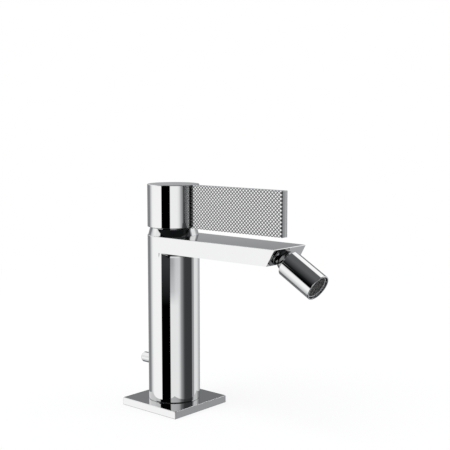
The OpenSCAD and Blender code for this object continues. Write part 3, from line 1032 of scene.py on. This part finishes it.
@dataclass
class LeverHead:
    """Domed neck, round knob and the plug in the knob's back."""

    effects: Effects
    dome_wall: float = 1.5 * MM
    dome_mouth: float = 12 * MM
    dome_lean: tuple[float, float] = (13.5, 18)
    hollow_gap: float = 0.4 * MM
    rim: float = 0.5 * MM
    bore_gap: float = 0.1 * MM
    bore_depth: float = 2.5 * MM
    plug_thick: float = 1.8 * MM
    plug_edge: float = 0.3 * MM
    plug_sunk: float = 0.25 * MM
    dome_radius: float = field(init=False)
    dome_foot: float = field(init=False)
    knob_radius: float = field(init=False)
    knob_span: tuple[float, float] = field(init=False)
    plug_height: float = field(init=False)
    plug_radius: float = field(init=False)

    def __post_init__(self) -> None:
        """Reads the dome, the knob and the plug from the frame."""
        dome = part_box("dome_cover")
        self.dome_radius = dome[1].x
        self.dome_foot = dome[0].z
        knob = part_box("knob")
        self.knob_radius = knob[1].x
        self.knob_span = (knob[0].z, knob[1].z)
        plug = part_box("screw_plug")
        self.plug_height = (plug[0].z + plug[1].z) / 2
        self.plug_radius = (plug[1].z - plug[0].z) / 2

    def build(self) -> None:
        """Builds and dresses the neck, the knob and the plug."""
        self._dome()
        self._knob()
        self._plug()

    def _dome(self) -> None:
        """Domed neck that leans in between the spout and the knob, open at its top for the stem."""
        start, stop = self.dome_lean
        rise = math.sin(math.radians(stop)) - math.sin(math.radians(start))
        outer = (self.knob_span[0] - self.dome_foot) / rise
        centre = (
            self.dome_radius - outer * math.cos(math.radians(start)),
            self.dome_foot - outer * math.sin(math.radians(start)),
        )
        skin = self._dome_face(centre, outer, 0)
        lining = self._dome_face(centre, outer, self.dome_wall)[::-1]
        piece = as_object("neck_dome", revolve(skin + lining))
        settle(piece)
        dress(piece, Body.FIXED, CHROME, self.effects, ["dome_cover"])

    def _dome_face(self, centre: Point, radius: float, depth: float) -> list[Point]:
        """One face of the neck's wall: it leans in, then follows the sphere that the knob turns on.

        Args:
            centre: Centre of the leaning arc.
            radius: Radius of that arc on the outer face.
            depth: How far the face lies below the outer face.

        Returns:
            The points of the face from the foot to the mouth.
        """
        lean, ball = radius - depth, self.dome_radius - depth
        start = math.degrees(math.asin((self.dome_foot - centre[1]) / lean))
        stop = math.degrees(math.acos((self.dome_mouth - centre[0]) / lean))
        side = [
            point
            for point in arc(centre, lean, start, stop, steps=40)
            if math.hypot(point[0], point[1] - self.dome_foot) < ball + TINY
        ]
        turn = math.degrees(math.atan2(side[-1][1] - self.dome_foot, side[-1][0]))
        mouth = math.degrees(math.acos(self.dome_mouth / ball))
        return side + arc((0, self.dome_foot), ball, turn + 1, mouth, steps=12)

    def _knob(self) -> None:
        """Knob with rounded rims and a spherical hollow for the dome."""
        low, high = self.knob_span
        hollow = self.dome_radius + self.hollow_gap
        turn = math.degrees(math.asin((low - self.dome_foot) / hollow))
        mouth = hollow * math.cos(math.radians(turn))
        cavity = arc((0, self.dome_foot), hollow, turn, 90, steps=40)
        outside = soften(
            [
                (0, high, 0),
                (self.knob_radius, high, self.rim),
                (self.knob_radius, low, self.rim),
                (mouth, low, 0),
            ]
        )
        piece = as_object("lever_knob", revolve(outside[:-1] + cavity, closed=False))
        wide, deep = self.plug_radius + self.bore_gap, self.bore_depth
        bore = [(0, 0), (wide, 0), (wide, 2 * deep), (0, 2 * deep)]
        cutter = as_object("plug_bore_cutter", revolve(bore, Turn.SMALL, self._rearward(deep), closed=False))
        add_cut(piece, cutter)
        settle(piece, [cutter])
        dress(piece, Body.LEVER, CHROME, self.effects, ["knob"])

    def _plug(self) -> None:
        """Cap in the grub screw's hole, a little below the knob's surface."""
        wide, deep = self.plug_radius, self.plug_thick
        outline = soften([(0, 0, 0), (wide, 0, 0), (wide, deep, self.plug_edge), (0, deep, 0)], 4)
        place = self._rearward(deep + self.plug_sunk)
        piece = as_object("screw_cap", revolve(outline, Turn.SMALL, place, closed=False))
        settle(piece)
        dress(piece, Body.LEVER, GREY_PLASTIC, self.effects, ["screw_plug"])

    def _rearward(self, depth: float) -> Matrix:
        """Place of a turned form that points out of the knob's back, from a depth below its surface."""
        return Matrix.Translation((depth - self.knob_radius, 0, self.plug_height)) @ REARWARD


@dataclass
class LeverPlate:
    """Flat lever with a diamond knurl of flat-topped pads on both faces."""

    effects: Effects
    pitch: tuple[float, float] = (2.94 * MM, 2.72 * MM)
    groove: float = 0.6 * MM
    pad_share: float = 0.64
    edge: float = 0.2 * MM
    end_cut: tuple[float, float] = (1.0 * MM, 0.45 * MM)
    root_gap: float = 0.05 * MM
    root_steps: int = 8
    flat_from: float = 0.9
    core: tuple[Vector, Vector] = field(init=False)
    skin: tuple[Vector, Vector] = field(init=False)
    root_radius: float = field(init=False)

    def __post_init__(self) -> None:
        """Reads the core, the knurled skins and the knob from the frame."""
        self.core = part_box("lever_plate")
        self.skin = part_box("grip_panels")
        self.root_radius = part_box("knob")[1].x + self.root_gap

    def build(self) -> None:
        """Builds and dresses the core and the two knurled skins."""
        self._core()
        for side, name in ((-1, "knurl_right"), (1, "knurl_left")):
            self._knurl(side, name)

    def _core(self) -> None:
        """Flat bar whose root follows the knob."""
        low, high = self.core
        half = high.y
        spread = math.asin(half / self.root_radius)
        outline = [(high.x, -half), (high.x, half)]
        for k in range(self.root_steps + 1):
            t = spread - 2 * spread * k / self.root_steps
            outline.append((self.root_radius * math.cos(t), self.root_radius * math.sin(t)))
        mesh = prism(*([(x, y, z) for x, y in outline] for z in (low.z, high.z)))
        piece = as_object("lever_core", mesh)
        add_bevel(piece, self.edge, 2)
        settle(piece)
        dress(piece, Body.LEVER, CHROME, self.effects, ["lever_plate"])

    def _knurl(self, side: int, name: str) -> None:
        """One knurled skin: pads on a lattice, trimmed to the plate's outline and closed behind.

        Args:
            side: -1 for the face towards -Y and 1 for the other.
            name: Name of the piece.
        """
        low, high = self.skin
        top = high.y * side
        floor = (high.y - self.groove) * side
        back = self.core[1].y * side
        across = 2 * round((high.x - low.x) / self.pitch[0])
        up = 2 * round((high.z - low.z) / self.pitch[1])
        step = Vector(((high.x - low.x) / across, (high.z - low.z) / up))
        mesh = bmesh.new()
        corners = ((1, 0), (0, 1), (-1, 0), (0, -1))
        for i in range(across + 1):
            for j in range(up + 1):
                if (i + j) % 2 == 0:
                    continue
                x, z = low.x + i * step.x, low.z + j * step.y
                valley = [mesh.verts.new((x + a * step.x, floor, z + b * step.y)) for a, b in corners]
                part = step * self.pad_share
                pad = [mesh.verts.new((x + a * part.x, top, z + b * part.y)) for a, b in corners]
                add_face(mesh, pad)
                bridge(mesh, valley, pad)
        bmesh.ops.remove_doubles(mesh, verts=mesh.verts, dist=WELD)
        for point, outward in (
            ((low.x, 0, 0), (-1, 0, 0)),
            ((high.x, 0, 0), (1, 0, 0)),
            ((0, 0, low.z), (0, 0, -1)),
            ((0, 0, high.z), (0, 0, 1)),
        ):
            everything = mesh.verts[:] + mesh.edges[:] + mesh.faces[:]
            bmesh.ops.bisect_plane(mesh, geom=everything, plane_co=point, plane_no=outward, clear_outer=True)
        rim = [edge for edge in mesh.edges if edge.is_boundary]
        walls = bmesh.ops.extrude_edge_only(mesh, edges=rim)["geom"]
        for vert in (item for item in walls if isinstance(item, bmesh.types.BMVert)):
            vert.co.y = back
        bmesh.ops.contextual_create(mesh, geom=[edge for edge in mesh.edges if edge.is_boundary])
        piece = as_object(name, mesh, smooth=False)
        cutter = self._end_cutter(side)
        add_cut(piece, cutter)
        settle(piece, [cutter])
        nodes = ["grip_panels"] if side < 0 else []
        dress(piece, Body.LEVER, KNURL_CHROME, self.effects, nodes)
        # The slanted groove walls get the darker chrome, which paints shade into the grooves between the
        # pads.
        piece.data.materials.append(GROOVE_SHADE_CHROME.material(self.effects))
        for face in piece.data.polygons:
            face.material_index = int(max(map(abs, face.normal)) < self.flat_from)

    def _end_cutter(self, side: int) -> bpy.types.Object:
        """Wedge that slants the knurl's free end.

        Args:
            side: -1 for the face towards -Y and 1 for the other.

        Returns:
            The cutter.
        """
        low, high = self.skin
        along, deep = self.end_cut
        outline = (
            (high.x - 2 * along, (high.y + deep) * side),
            (high.x + along, (high.y - 2 * deep) * side),
            (high.x + along, (high.y + deep) * side),
        )
        mesh = prism(*([(x, y, z) for x, y in outline] for z in (low.z - along, high.z + along)))
        return as_object("end_cutter", mesh)


@dataclass
class OutletNozzle:
    """Nozzle on its swivel ball, with the aerator in its mouth.

    Depths run along the nozzle's axis, forward from the shell's rear end or back from its mouth.
    """

    effects: Effects
    ball: Vector
    axis: Vector
    mouth_wall: float = 0.9 * MM
    rim: float = 0.35 * MM
    rear_edge: float = 0.1 * MM
    mouth_edge: float = 0.15 * MM
    seat_inset: float = 0.35 * MM
    seat_flare: tuple[float, float] = (0.45 * MM, 1 * MM)
    seat_depth: float = 7.6 * MM
    throat_inset: float = 1.5 * MM
    bore_start: float = 10 * MM
    ball_wall: float = 1.7 * MM
    ball_open: tuple[float, float] = (-47, -39)
    spigot_inset: float = 0.4 * MM
    spigot_depth: float = 7.5 * MM
    recess: float = 1.2 * MM
    ring_gap: float = 0.6 * MM
    ring_width: float = 0.55 * MM
    ring_edge: float = 0.2 * MM
    collar: tuple[float, float] = (12 * MM, 18 * MM)
    ledge_inset: float = 1.5 * MM
    ledge_depth: float = 1.1 * MM
    core_inset: float = 2.2 * MM
    core_cone: tuple[float, float] = (4.2 * MM, 5.2 * MM)
    screen_inset: float = 1.25 * MM
    screen_depth: float = 0.6 * MM
    wire_pitch: float = 0.8 * MM
    wire_radius: float = 0.17 * MM
    wire_sides: int = 6
    ball_radius: float = field(init=False)
    radius: float = field(init=False)
    span: tuple[float, float] = field(init=False)
    place: Matrix = field(init=False)

    def __post_init__(self) -> None:
        """Reads the nozzle's length and the ball's radius from the frame, along the nozzle's axis."""
        across = Vector((0, 1, 0))
        sideways = across.cross(self.axis)
        turned = Matrix((sideways, across, self.axis)).transposed().to_4x4()
        self.place = Matrix.Translation(self.ball) @ turned
        self.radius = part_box("nozzle_shell")[1].y
        verts = bpy.data.objects["nozzle_shell"].data.vertices
        heights = [(Vector(vert.co) - self.ball).dot(self.axis) for vert in verts]
        self.span = (min(heights), max(heights))
        self.ball_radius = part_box("swivel_ball")[1].y

    def build(self) -> None:
        """Builds and dresses the shell, the ball and the aerator."""
        self._shell()
        self._ball()
        self._housing()
        self._screen()

    def _shell(self) -> None:
        """Tube with rounded ends, a seat for the ball's spigot and a wide bore for the aerator."""
        start, stop = self.span
        seat = self.ball_radius - self.seat_inset
        throat = seat - self.throat_inset
        mouth = self.radius - self.mouth_wall
        wider, flare_depth = self.seat_flare
        outline = soften(
            [
                (seat + wider, start, self.rear_edge),
                (self.radius, start, self.rim),
                (self.radius, stop, self.rim),
                (mouth, stop, self.mouth_edge),
                (mouth, start + self.bore_start, 0),
                (throat, start + self.bore_start, 0),
                (throat, start + self.seat_depth, 0),
                (seat, start + self.seat_depth, 0),
                (seat, start + flare_depth, 0),
            ],
            5,
        )
        piece = as_object("nozzle_tube", revolve(outline, Turn.LARGE, self.place))
        settle(piece)
        dress(piece, Body.NOZZLE, CHROME, self.effects, ["nozzle_shell"])

    def _ball(self) -> None:
        """Hollow ball with a spigot, open behind."""
        outer = self.ball_radius
        inner = outer - self.ball_wall
        spigot = outer - self.spigot_inset
        bore = inner - self.spigot_inset
        end = self.span[0] + self.spigot_depth
        open_outside, open_inside = self.ball_open
        skin = arc((0, 0), outer, open_outside, math.degrees(math.acos(spigot / outer)), steps=40)
        lining = arc((0, 0), inner, math.degrees(math.acos(bore / inner)), open_inside, steps=24)
        outline = skin + [(spigot, end), (bore, end)] + lining
        piece = as_object("ball", revolve(outline, Turn.MEDIUM, self.place))
        settle(piece)
        # The ball is dressed in darker chrome that paints the shade of its pocket.
        dress(piece, Body.NOZZLE, BALL_SHADE_CHROME, self.effects, ["swivel_ball"])

    def _housing(self) -> None:
        """Aerator's rim inside the mouth."""
        end = self.span[1] - self.recess
        rim = self.radius - self.mouth_wall - self.ring_gap
        ring, ledge, core = rim - self.ring_width, rim - self.ledge_inset, rim - self.core_inset
        collar = rim + self.ring_width
        collar_start, collar_stop = (self.span[0] + depth for depth in self.collar)
        cone_stop, cone_start = (end - depth for depth in self.core_cone)
        outline = soften(
            [
                (core, collar_start, 0),
                (collar, collar_start, 0),
                (collar, collar_stop, 0),
                (rim, collar_stop, 0),
                (rim, end, self.ring_edge),
                (ring, end, self.ring_edge),
                (ring, end - self.ledge_depth, 0),
                (ledge, end - self.ledge_depth, 0),
                (ledge, cone_stop, 0),
                (core, cone_start, 0),
            ],
            4,
        )
        piece = as_object("aerator_rim", revolve(outline, Turn.MEDIUM, self.place))
        settle(piece)
        dress(piece, Body.NOZZLE, GREY_PLASTIC, self.effects, ["aerator_housing"])

    def _screen(self) -> None:
        """Woven wire screen: two rows of wavy wires that pass over and under each other."""
        reach = self.radius - self.mouth_wall - self.screen_inset
        lines = math.floor(reach / self.wire_pitch)
        mesh = bmesh.new()
        for across in (False, True):
            for line in range(-lines, lines + 1):
                self._wire(mesh, across, line, reach)
        piece = as_object("aerator_mesh", mesh)
        dress(piece, Body.NOZZLE, MESH_STEEL, self.effects, ["aerator_screen"])

    def _wire(self, mesh: bmesh.types.BMesh, across: bool, line: int, reach: float) -> None:
        """Adds one wavy wire of the screen.

        Args:
            mesh: Mesh of the screen.
            across: Whether the wire runs along Y.
            line: Number of the wire from the middle, which sets over or under.
            reach: Radius of the screen.
        """
        height = self.span[1] - self.recess - self.screen_depth
        pitch, thick, sides = self.wire_pitch, self.wire_radius, self.wire_sides
        offset = line * pitch
        half = math.sqrt(max(reach**2 - offset**2, TINY))
        steps = max(4, round(8 * half / pitch))
        phase = math.pi * (line + across)
        rows = []
        for k in range(steps + 1):
            along = -half + 2 * half * k / steps
            lift = thick * math.cos(math.pi * along / pitch + phase)
            row = []
            for s in range(sides):
                t = 2 * math.pi * s / sides
                flat = offset + thick * math.cos(t)
                level = height + lift + thick * math.sin(t)
                spot = (flat, along, level) if across else (along, flat, level)
                row.append(mesh.verts.new(self.place @ Vector(spot)))
            rows.append(row)
        for low, high in zip(rows, rows[1:]):
            bridge(mesh, low, high)
        add_face(mesh, rows[0])
        add_face(mesh, rows[-1])


@dataclass
class WasteLift:
    """Small knob behind the column."""

    effects: Effects
    neck: float = 1.9 * MM
    stand_off: float = 1.6 * MM
    front_edge: float = 0.4 * MM
    rounding: float = 1.2 * MM

    def build(self) -> None:
        """Builds and dresses the knob on its neck."""
        low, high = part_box("waste_knob")
        radius = high.y
        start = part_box("body")[0].x - self.stand_off
        outline = soften(
            [
                (0, -high.x, 0),
                (self.neck, -high.x, 0),
                (self.neck, -start, 0),
                (radius, -start, self.front_edge),
                (radius, -low.x, self.rounding),
                (0, -low.x, 0),
            ],
            8,
        )
        place = Matrix.Translation((0, 0, (low.z + high.z) / 2)) @ REARWARD
        piece = as_object("waste_pull", revolve(outline, Turn.MEDIUM, place, closed=False))
        settle(piece)
        dress(piece, Body.WASTE, CHROME, self.effects, ["waste_knob"])


@dataclass
class InnerWorks:
    """Inner pieces that keep their own shapes from the frame."""

    effects: Effects
    nodes: dict[str, bpy.types.Object]

    def build(self) -> None:
        """Gives every carried-over node its finish."""
        for name, finish in NODE_FINISHES.items():
            piece = self.nodes[name]
            piece.data.materials.clear()
            piece.data.materials.append(finish.material(self.effects))
            log.info("%s keeps its shape in %s", name, finish.name)


# Studio


Marks = tuple[tuple[float, float], ...]


@dataclass(frozen=True)
class Zone:
    """Belt of the studio's shell, from the zone below up to its top, with how bright chrome shows it.

    Marks are the angle from the camera, in degrees to the right, and the brightness there, from 0 for black
    to 255 for white. It changes evenly between marks, and over the blur, in degrees, to the next zone.
    """

    top: float
    blur: float
    marks: Marks


@dataclass(frozen=True)
class SoftBox:
    """Light with soft edges in front of the shell's belts, in degrees from the camera and the horizon."""

    sides: tuple[float, float]
    heights: tuple[float, float]
    level: float
    soft: float


@dataclass(frozen=True)
class Lamp:
    """Wide soft sun, given by where it stands, its spread in degrees and its strength."""

    name: str
    spot: tuple[float, float, float]
    spread: float
    strength: float


# How much bluer the darkest fields are.
COOL = 0.06
LEFT_FIELD: Marks = ((-180, 124), (-131, 120), (-116, 205), (-106, 238), (-95, 242))
RIGHT_FIELD: Marks = (
    (28.5, 176), (33, 139), (38, 124), (42, 98), (47, 64), (53, 57), (86.6, 56), (87.4, 147), (99.3, 147),
    (100.3, 219), (120, 220), (130, 204), (143, 170), (160, 136), (180, 124),
)
UPPER_LEFT: Marks = ((-120, 200), (-108, 226))
UPPER_RIGHT: Marks = (
    (-17.4, 4), (-15.8, 212), (8, 204), (20, 192), (26, 162), (31, 116), (40, 92), (45, 64), (60, 60),
    (87, 58), (88, 147), (94, 147), (95, 225), (118, 225), (130, 165),
)
ZONES: tuple[Zone, ...] = (
    Zone(top=-50, blur=16, marks=((-180, 35), (180, 35))),
    Zone(
        top=-27,
        blur=16,
        marks=(
            (-180, 95), (-136, 95), (-118, 200), (-60, 208), (-58, 20), (-18, 20), (-15, 170), (25, 160),
            (45, 50), (87, 55), (95, 160), (130, 158), (150, 110), (180, 95),
        ),
    ),
    Zone(
        top=-10.8,
        blur=0.9,
        marks=(
            *LEFT_FIELD, (-57.6, 243), (-56.4, 0), (-17, 0), (-15.4, 227), (17, 228), (20.5, 221),
            (24.5, 208), *RIGHT_FIELD,
        ),
    ),
    Zone(
        top=-9.5,
        blur=1.7,
        marks=(
            *LEFT_FIELD, (-57.6, 243), (-56.4, 30), (-17, 30), (-15.4, 186), (0, 194), (9, 208), (24.5, 206),
            *RIGHT_FIELD,
        ),
    ),
    Zone(
        top=-7.4,
        blur=1.2,
        marks=(
            *LEFT_FIELD, (-57.2, 243), (-56, 51), (-16.6, 51), (-15, 158), (-4, 166), (9, 196), (24.5, 201),
            *RIGHT_FIELD,
        ),
    ),
    Zone(
        top=-3,
        blur=1,
        marks=(
            *LEFT_FIELD, (-55.2, 243), (-54, 0), (-15.6, 0), (-14, 236), (15, 236), (22, 227), (27, 212),
            (31, 182), (35.5, 156), (40, 134), (45, 66), (49, 24), (80, 24), *RIGHT_FIELD[6:],
        ),
    ),
    Zone(
        top=8.7,
        blur=3,
        marks=(
            (-180, 136), (-133, 112), *UPPER_LEFT, (-73, 230), (-71.5, 4), *UPPER_RIGHT, (150, 134),
            (180, 134),
        ),
    ),
    Zone(
        top=15.9,
        blur=1,
        marks=(
            (-180, 108), (-133, 108), *UPPER_LEFT, (-73, 230), (-71.5, 4), *UPPER_RIGHT, (150, 112),
            (180, 104),
        ),
    ),
    Zone(
        top=18.8,
        blur=1,
        marks=(
            (-180, 114), (-133, 110), *UPPER_LEFT, (-66.8, 230), (-65.6, 4), *UPPER_RIGHT, (150, 112),
            (180, 106),
        ),
    ),
    Zone(
        top=31,
        blur=1,
        marks=(
            (-180, 110), (-135, 95), (-100, 22), (-60, 22), (0, 18), (86, 22), (92, 238), (126, 238),
            (138, 112), (180, 110),
        ),
    ),
    Zone(
        top=48,
        blur=44,
        marks=(
            (-180, 105), (-135, 85), (-100, 30), (0, 26), (90, 30), (130, 70), (150, 105), (180, 105),
        ),
    ),
    Zone(top=90, blur=1, marks=((-180, 90), (180, 90))),
)
SOFT_BOXES: tuple[SoftBox, ...] = (
    SoftBox(sides=(121, 153), heights=(29, 67), level=246, soft=4),
    SoftBox(sides=(-165, -92), heights=(12, 62), level=238, soft=5),
)
LAMPS: tuple[Lamp, ...] = (
    Lamp("key_lamp", spot=(-0.6, -1.6, 2.6), spread=50, strength=1.6),
    Lamp("fill_lamp", spot=(1.8, 0.8, 1.6), spread=70, strength=0.8),
)


@dataclass
class Studio:
    """Camera, floor, lamps and the shell of light and dark fields that the chrome mirrors."""

    camera_place: Vector = field(default_factory=lambda: Vector((0.50147, -0.51253, 0.22293)))
    heading: float = 41.2
    pitch: float = 6.49
    focal_pixels: float = 933.97
    frame_pixels: float = 450
    sensor: float = 36.0
    clip: tuple[float, float] = (0.01, 50)
    ambient: tuple[float, float, float] = (0.55, 0.56, 0.57)
    floor_half: float = 6.0
    floor_tone: float = 0.92
    shell_radius: float = 30.0
    shadow_reach: tuple[float, float] = (0.15, 0.7)
    shadow_share: float = 0.2

    def build(self) -> None:
        """Builds the whole studio."""
        self._camera()
        self._world()
        self._floor()
        self._shell()
        self._lamps()

    def _camera(self) -> None:
        """Camera at the photograph's place and angle."""
        data = bpy.data.cameras.new("camera")
        data.sensor_width = self.sensor
        data.lens = self.focal_pixels / self.frame_pixels * self.sensor
        data.clip_start, data.clip_end = self.clip
        camera = bpy.data.objects.new("camera", data)
        turn, dip = math.radians(self.heading), math.radians(self.pitch)
        ahead = Vector((-math.sin(turn) * math.cos(dip), math.cos(turn) * math.cos(dip), -math.sin(dip)))
        camera.location = self.camera_place
        camera.rotation_euler = ahead.to_track_quat("-Z", "Y").to_euler()
        bpy.context.scene.collection.objects.link(camera)
        bpy.context.scene.camera = camera

    def _world(self) -> None:
        """White to the camera and in mirrors, and a soft grey for the rest of the light."""
        scene = bpy.context.scene
        scene.view_settings.view_transform = "Standard"
        world = bpy.data.worlds.new("studio")
        scene.world = world
        world.use_nodes = True
        graph = Graph(world.node_tree)
        path = graph.add("ShaderNodeLightPath")
        seen = graph.math("MAXIMUM", path.outputs["Is Camera Ray"], path.outputs["Is Glossy Ray"])
        seen = graph.math("MAXIMUM", seen, path.outputs["Is Transmission Ray"])
        white = graph.add("ShaderNodeBackground")
        white.inputs["Color"].default_value = (1, 1, 1, 1)
        soft = graph.add("ShaderNodeBackground")
        soft.inputs["Color"].default_value = (*self.ambient, 1)
        mix = graph.add("ShaderNodeMixShader")
        graph.join(seen, mix.inputs["Fac"])
        graph.join(soft.outputs[0], mix.inputs[1])
        graph.join(white.outputs[0], mix.inputs[2])
        graph.join(mix.outputs[0], graph.add("ShaderNodeOutputWorld").inputs["Surface"])

    def _floor(self) -> None:
        """Pale floor that keeps the object's soft shadow and is plain white further out."""
        mesh = bmesh.new()
        bmesh.ops.create_grid(mesh, x_segments=1, y_segments=1, size=self.floor_half)
        floor = as_object("floor", mesh, smooth=False)
        made = bpy.data.materials.new("studio_floor")
        made.use_nodes = True
        graph = Graph(made.node_tree)
        matt = graph.add("ShaderNodeBsdfDiffuse")
        matt.inputs["Color"].default_value = (self.floor_tone, self.floor_tone, self.floor_tone, 1)
        glow = graph.add("ShaderNodeEmission")
        coords = graph.add("ShaderNodeTexCoord")
        away = graph.add("ShaderNodeVectorMath", operation="LENGTH")
        graph.join(coords.outputs["Object"], away.inputs[0])
        span = graph.add("ShaderNodeMapRange", interpolation_type="SMOOTHSTEP")
        graph.join(away.outputs["Value"], span.inputs["Value"])
        span.inputs["From Min"].default_value = self.shadow_reach[0]
        span.inputs["From Max"].default_value = self.shadow_reach[1]
        span.inputs["To Min"].default_value = 1 - self.shadow_share
        path = graph.add("ShaderNodeLightPath")
        share = graph.math("MULTIPLY", path.outputs["Is Camera Ray"], span.outputs["Result"])
        mix = graph.add("ShaderNodeMixShader")
        graph.join(share, mix.inputs["Fac"])
        graph.join(matt.outputs[0], mix.inputs[1])
        graph.join(glow.outputs[0], mix.inputs[2])
        graph.join(mix.outputs[0], graph.add("ShaderNodeOutputMaterial").inputs["Surface"])
        floor.data.materials.append(made)
        floor.visible_glossy = False

    def _shell(self) -> None:
        """Round shell whose fields are mirrored in the chrome; it is hidden from the camera."""
        outline = arc((0, 0), self.shell_radius, -90, 90, steps=64)
        facing = math.atan2(self.camera_place.y, self.camera_place.x)
        shell = as_object("light_shell", revolve(outline, Turn.MEDIUM, closed=False))
        shell.rotation_euler = (0, 0, facing)
        shell.data.materials.append(self._shell_material())
        shell.visible_camera = False
        shell.visible_diffuse = False
        shell.visible_shadow = False

    def _shell_material(self) -> bpy.types.Material:
        """Light levels by the angle from the camera and the height above the horizon.

        Returns:
            The shell's material.
        """
        made = bpy.data.materials.new("field_light")
        made.use_nodes = True
        graph = Graph(made.node_tree)
        coords = graph.add("ShaderNodeTexCoord")
        parts = graph.add("ShaderNodeSeparateXYZ")
        graph.join(coords.outputs["Object"], parts.inputs[0])
        side = graph.math("DEGREES", graph.math("ARCTAN2", parts.outputs["Y"], parts.outputs["X"]))
        rise = graph.math("ARCSINE", graph.math("DIVIDE", parts.outputs["Z"], self.shell_radius))
        height = graph.math("DEGREES", rise)
        around = graph.math("ADD", graph.math("DIVIDE", side, 360.0), 0.5)
        light = self._belt(graph, around, ZONES[0])
        for below, above in zip(ZONES, ZONES[1:]):
            mask = self._step(graph, height, below.top, below.blur)
            light = graph.blend(mask, light, self._belt(graph, around, above))
        for box in SOFT_BOXES:
            across = self._inside(graph, side, box.sides, box.soft)
            upward = self._inside(graph, height, box.heights, box.soft)
            light = graph.blend(graph.math("MULTIPLY", across, upward), light, self._glow(box.level))
        glow = graph.add("ShaderNodeEmission")
        graph.join(light, glow.inputs["Color"])
        graph.join(glow.outputs[0], graph.add("ShaderNodeOutputMaterial").inputs["Surface"])
        return made

    @staticmethod
    def _glow(level: float) -> tuple[float, float, float, float]:
        """Light that chrome shows at a brightness.

        Args:
            level: Brightness from 0 for black to 255 for white.

        Returns:
            The light's colour.
        """
        share = level / 255
        linear = share / 12.92 if share <= 0.04045 else ((share + 0.055) / 1.055) ** 2.4
        cool = COOL * (1 - share)
        tints = (1 - cool, 1.0, 1 + cool)
        return (*(linear * tint / tone for tint, tone in zip(tints, CHROME.colour)), 1.0)

    def _belt(self, graph: Graph, around: Socket, zone: Zone) -> Socket:
        """Adds a ramp of a zone's levels.

        Args:
            graph: Node tree of the shell.
            around: Turn from the back of the camera, 0 to 1.
            zone: Levels of the belt.

        Returns:
            The ramp's colour.
        """
        ramp = graph.add("ShaderNodeValToRGB")
        graph.join(around, ramp.inputs["Fac"])
        stops = ramp.color_ramp.elements
        stops.remove(stops[-1])
        for k, (turn, level) in enumerate(zone.marks):
            place = turn / 360 + 0.5
            stop = stops[0] if k == 0 else stops.new(place)
            stop.position = place
            stop.color = self._glow(level)
        return ramp.outputs["Color"]

    @staticmethod
    def _step(graph: Graph, value: Socket, edge: float, blur: float) -> Socket:
        """Adds a mask that goes from 0 to 1 at an edge.

        Args:
            graph: Node tree of the shell.
            value: Angle in degrees.
            edge: Angle at the middle of the change.
            blur: Degrees over which it changes.

        Returns:
            The mask.
        """
        span = graph.add("ShaderNodeMapRange")
        span.inputs["From Min"].default_value = edge - blur / 2
        span.inputs["From Max"].default_value = edge + blur / 2
        graph.join(value, span.inputs["Value"])
        return span.outputs["Result"]

    def _inside(self, graph: Graph, value: Socket, ends: tuple[float, float], soft: float) -> Socket:
        """Adds a mask that is 1 between two angles.

        Args:
            graph: Node tree of the shell.
            value: Angle in degrees.
            ends: Angles where the mask starts and ends.
            soft: Degrees over which it changes.

        Returns:
            The mask.
        """
        start = self._step(graph, value, ends[0], soft)
        stop = self._step(graph, value, ends[1], soft)
        return graph.math("SUBTRACT", start, stop)

    def _lamps(self) -> None:
        """Wide soft suns for the matt pieces and the floor's shadow; mirrors don't show them."""
        for lamp in LAMPS:
            spot = Vector(lamp.spot)
            data = bpy.data.lights.new(lamp.name, "SUN")
            data.angle = math.radians(lamp.spread)
            data.energy = lamp.strength
            sun = bpy.data.objects.new(lamp.name, data)
            sun.location = spot
            sun.rotation_euler = (-spot).to_track_quat("-Z", "Y").to_euler()
            sun.visible_glossy = False
            bpy.context.scene.collection.objects.link(sun)


def main() -> None:
    """Loads the frame, builds and dresses each sub-assembly, and sets the studio."""
    logging.basicConfig(level=logging.INFO, format="%(name)s: %(message)s")
    for leftover in list(bpy.data.objects):
        bpy.data.objects.remove(leftover)
    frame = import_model()
    spin = next(joint for joint in frame["joints"] if joint["name"] == "nozzle_spin")
    ball, axis = Vector(spin["pos_m"]), Vector(spin["axis"]).normalized()
    effects = Effects()
    for assembly in (
        InnerWorks(effects, frame["nodes"]),
        BasePlate(effects),
        ColumnAndSpout(effects, ball, axis),
        LeverHead(effects),
        LeverPlate(effects),
        OutletNozzle(effects, ball, axis),
        WasteLift(effects),
    ):
        assembly.build()
    Studio().build()


if __name__ == "__main__":
    main()
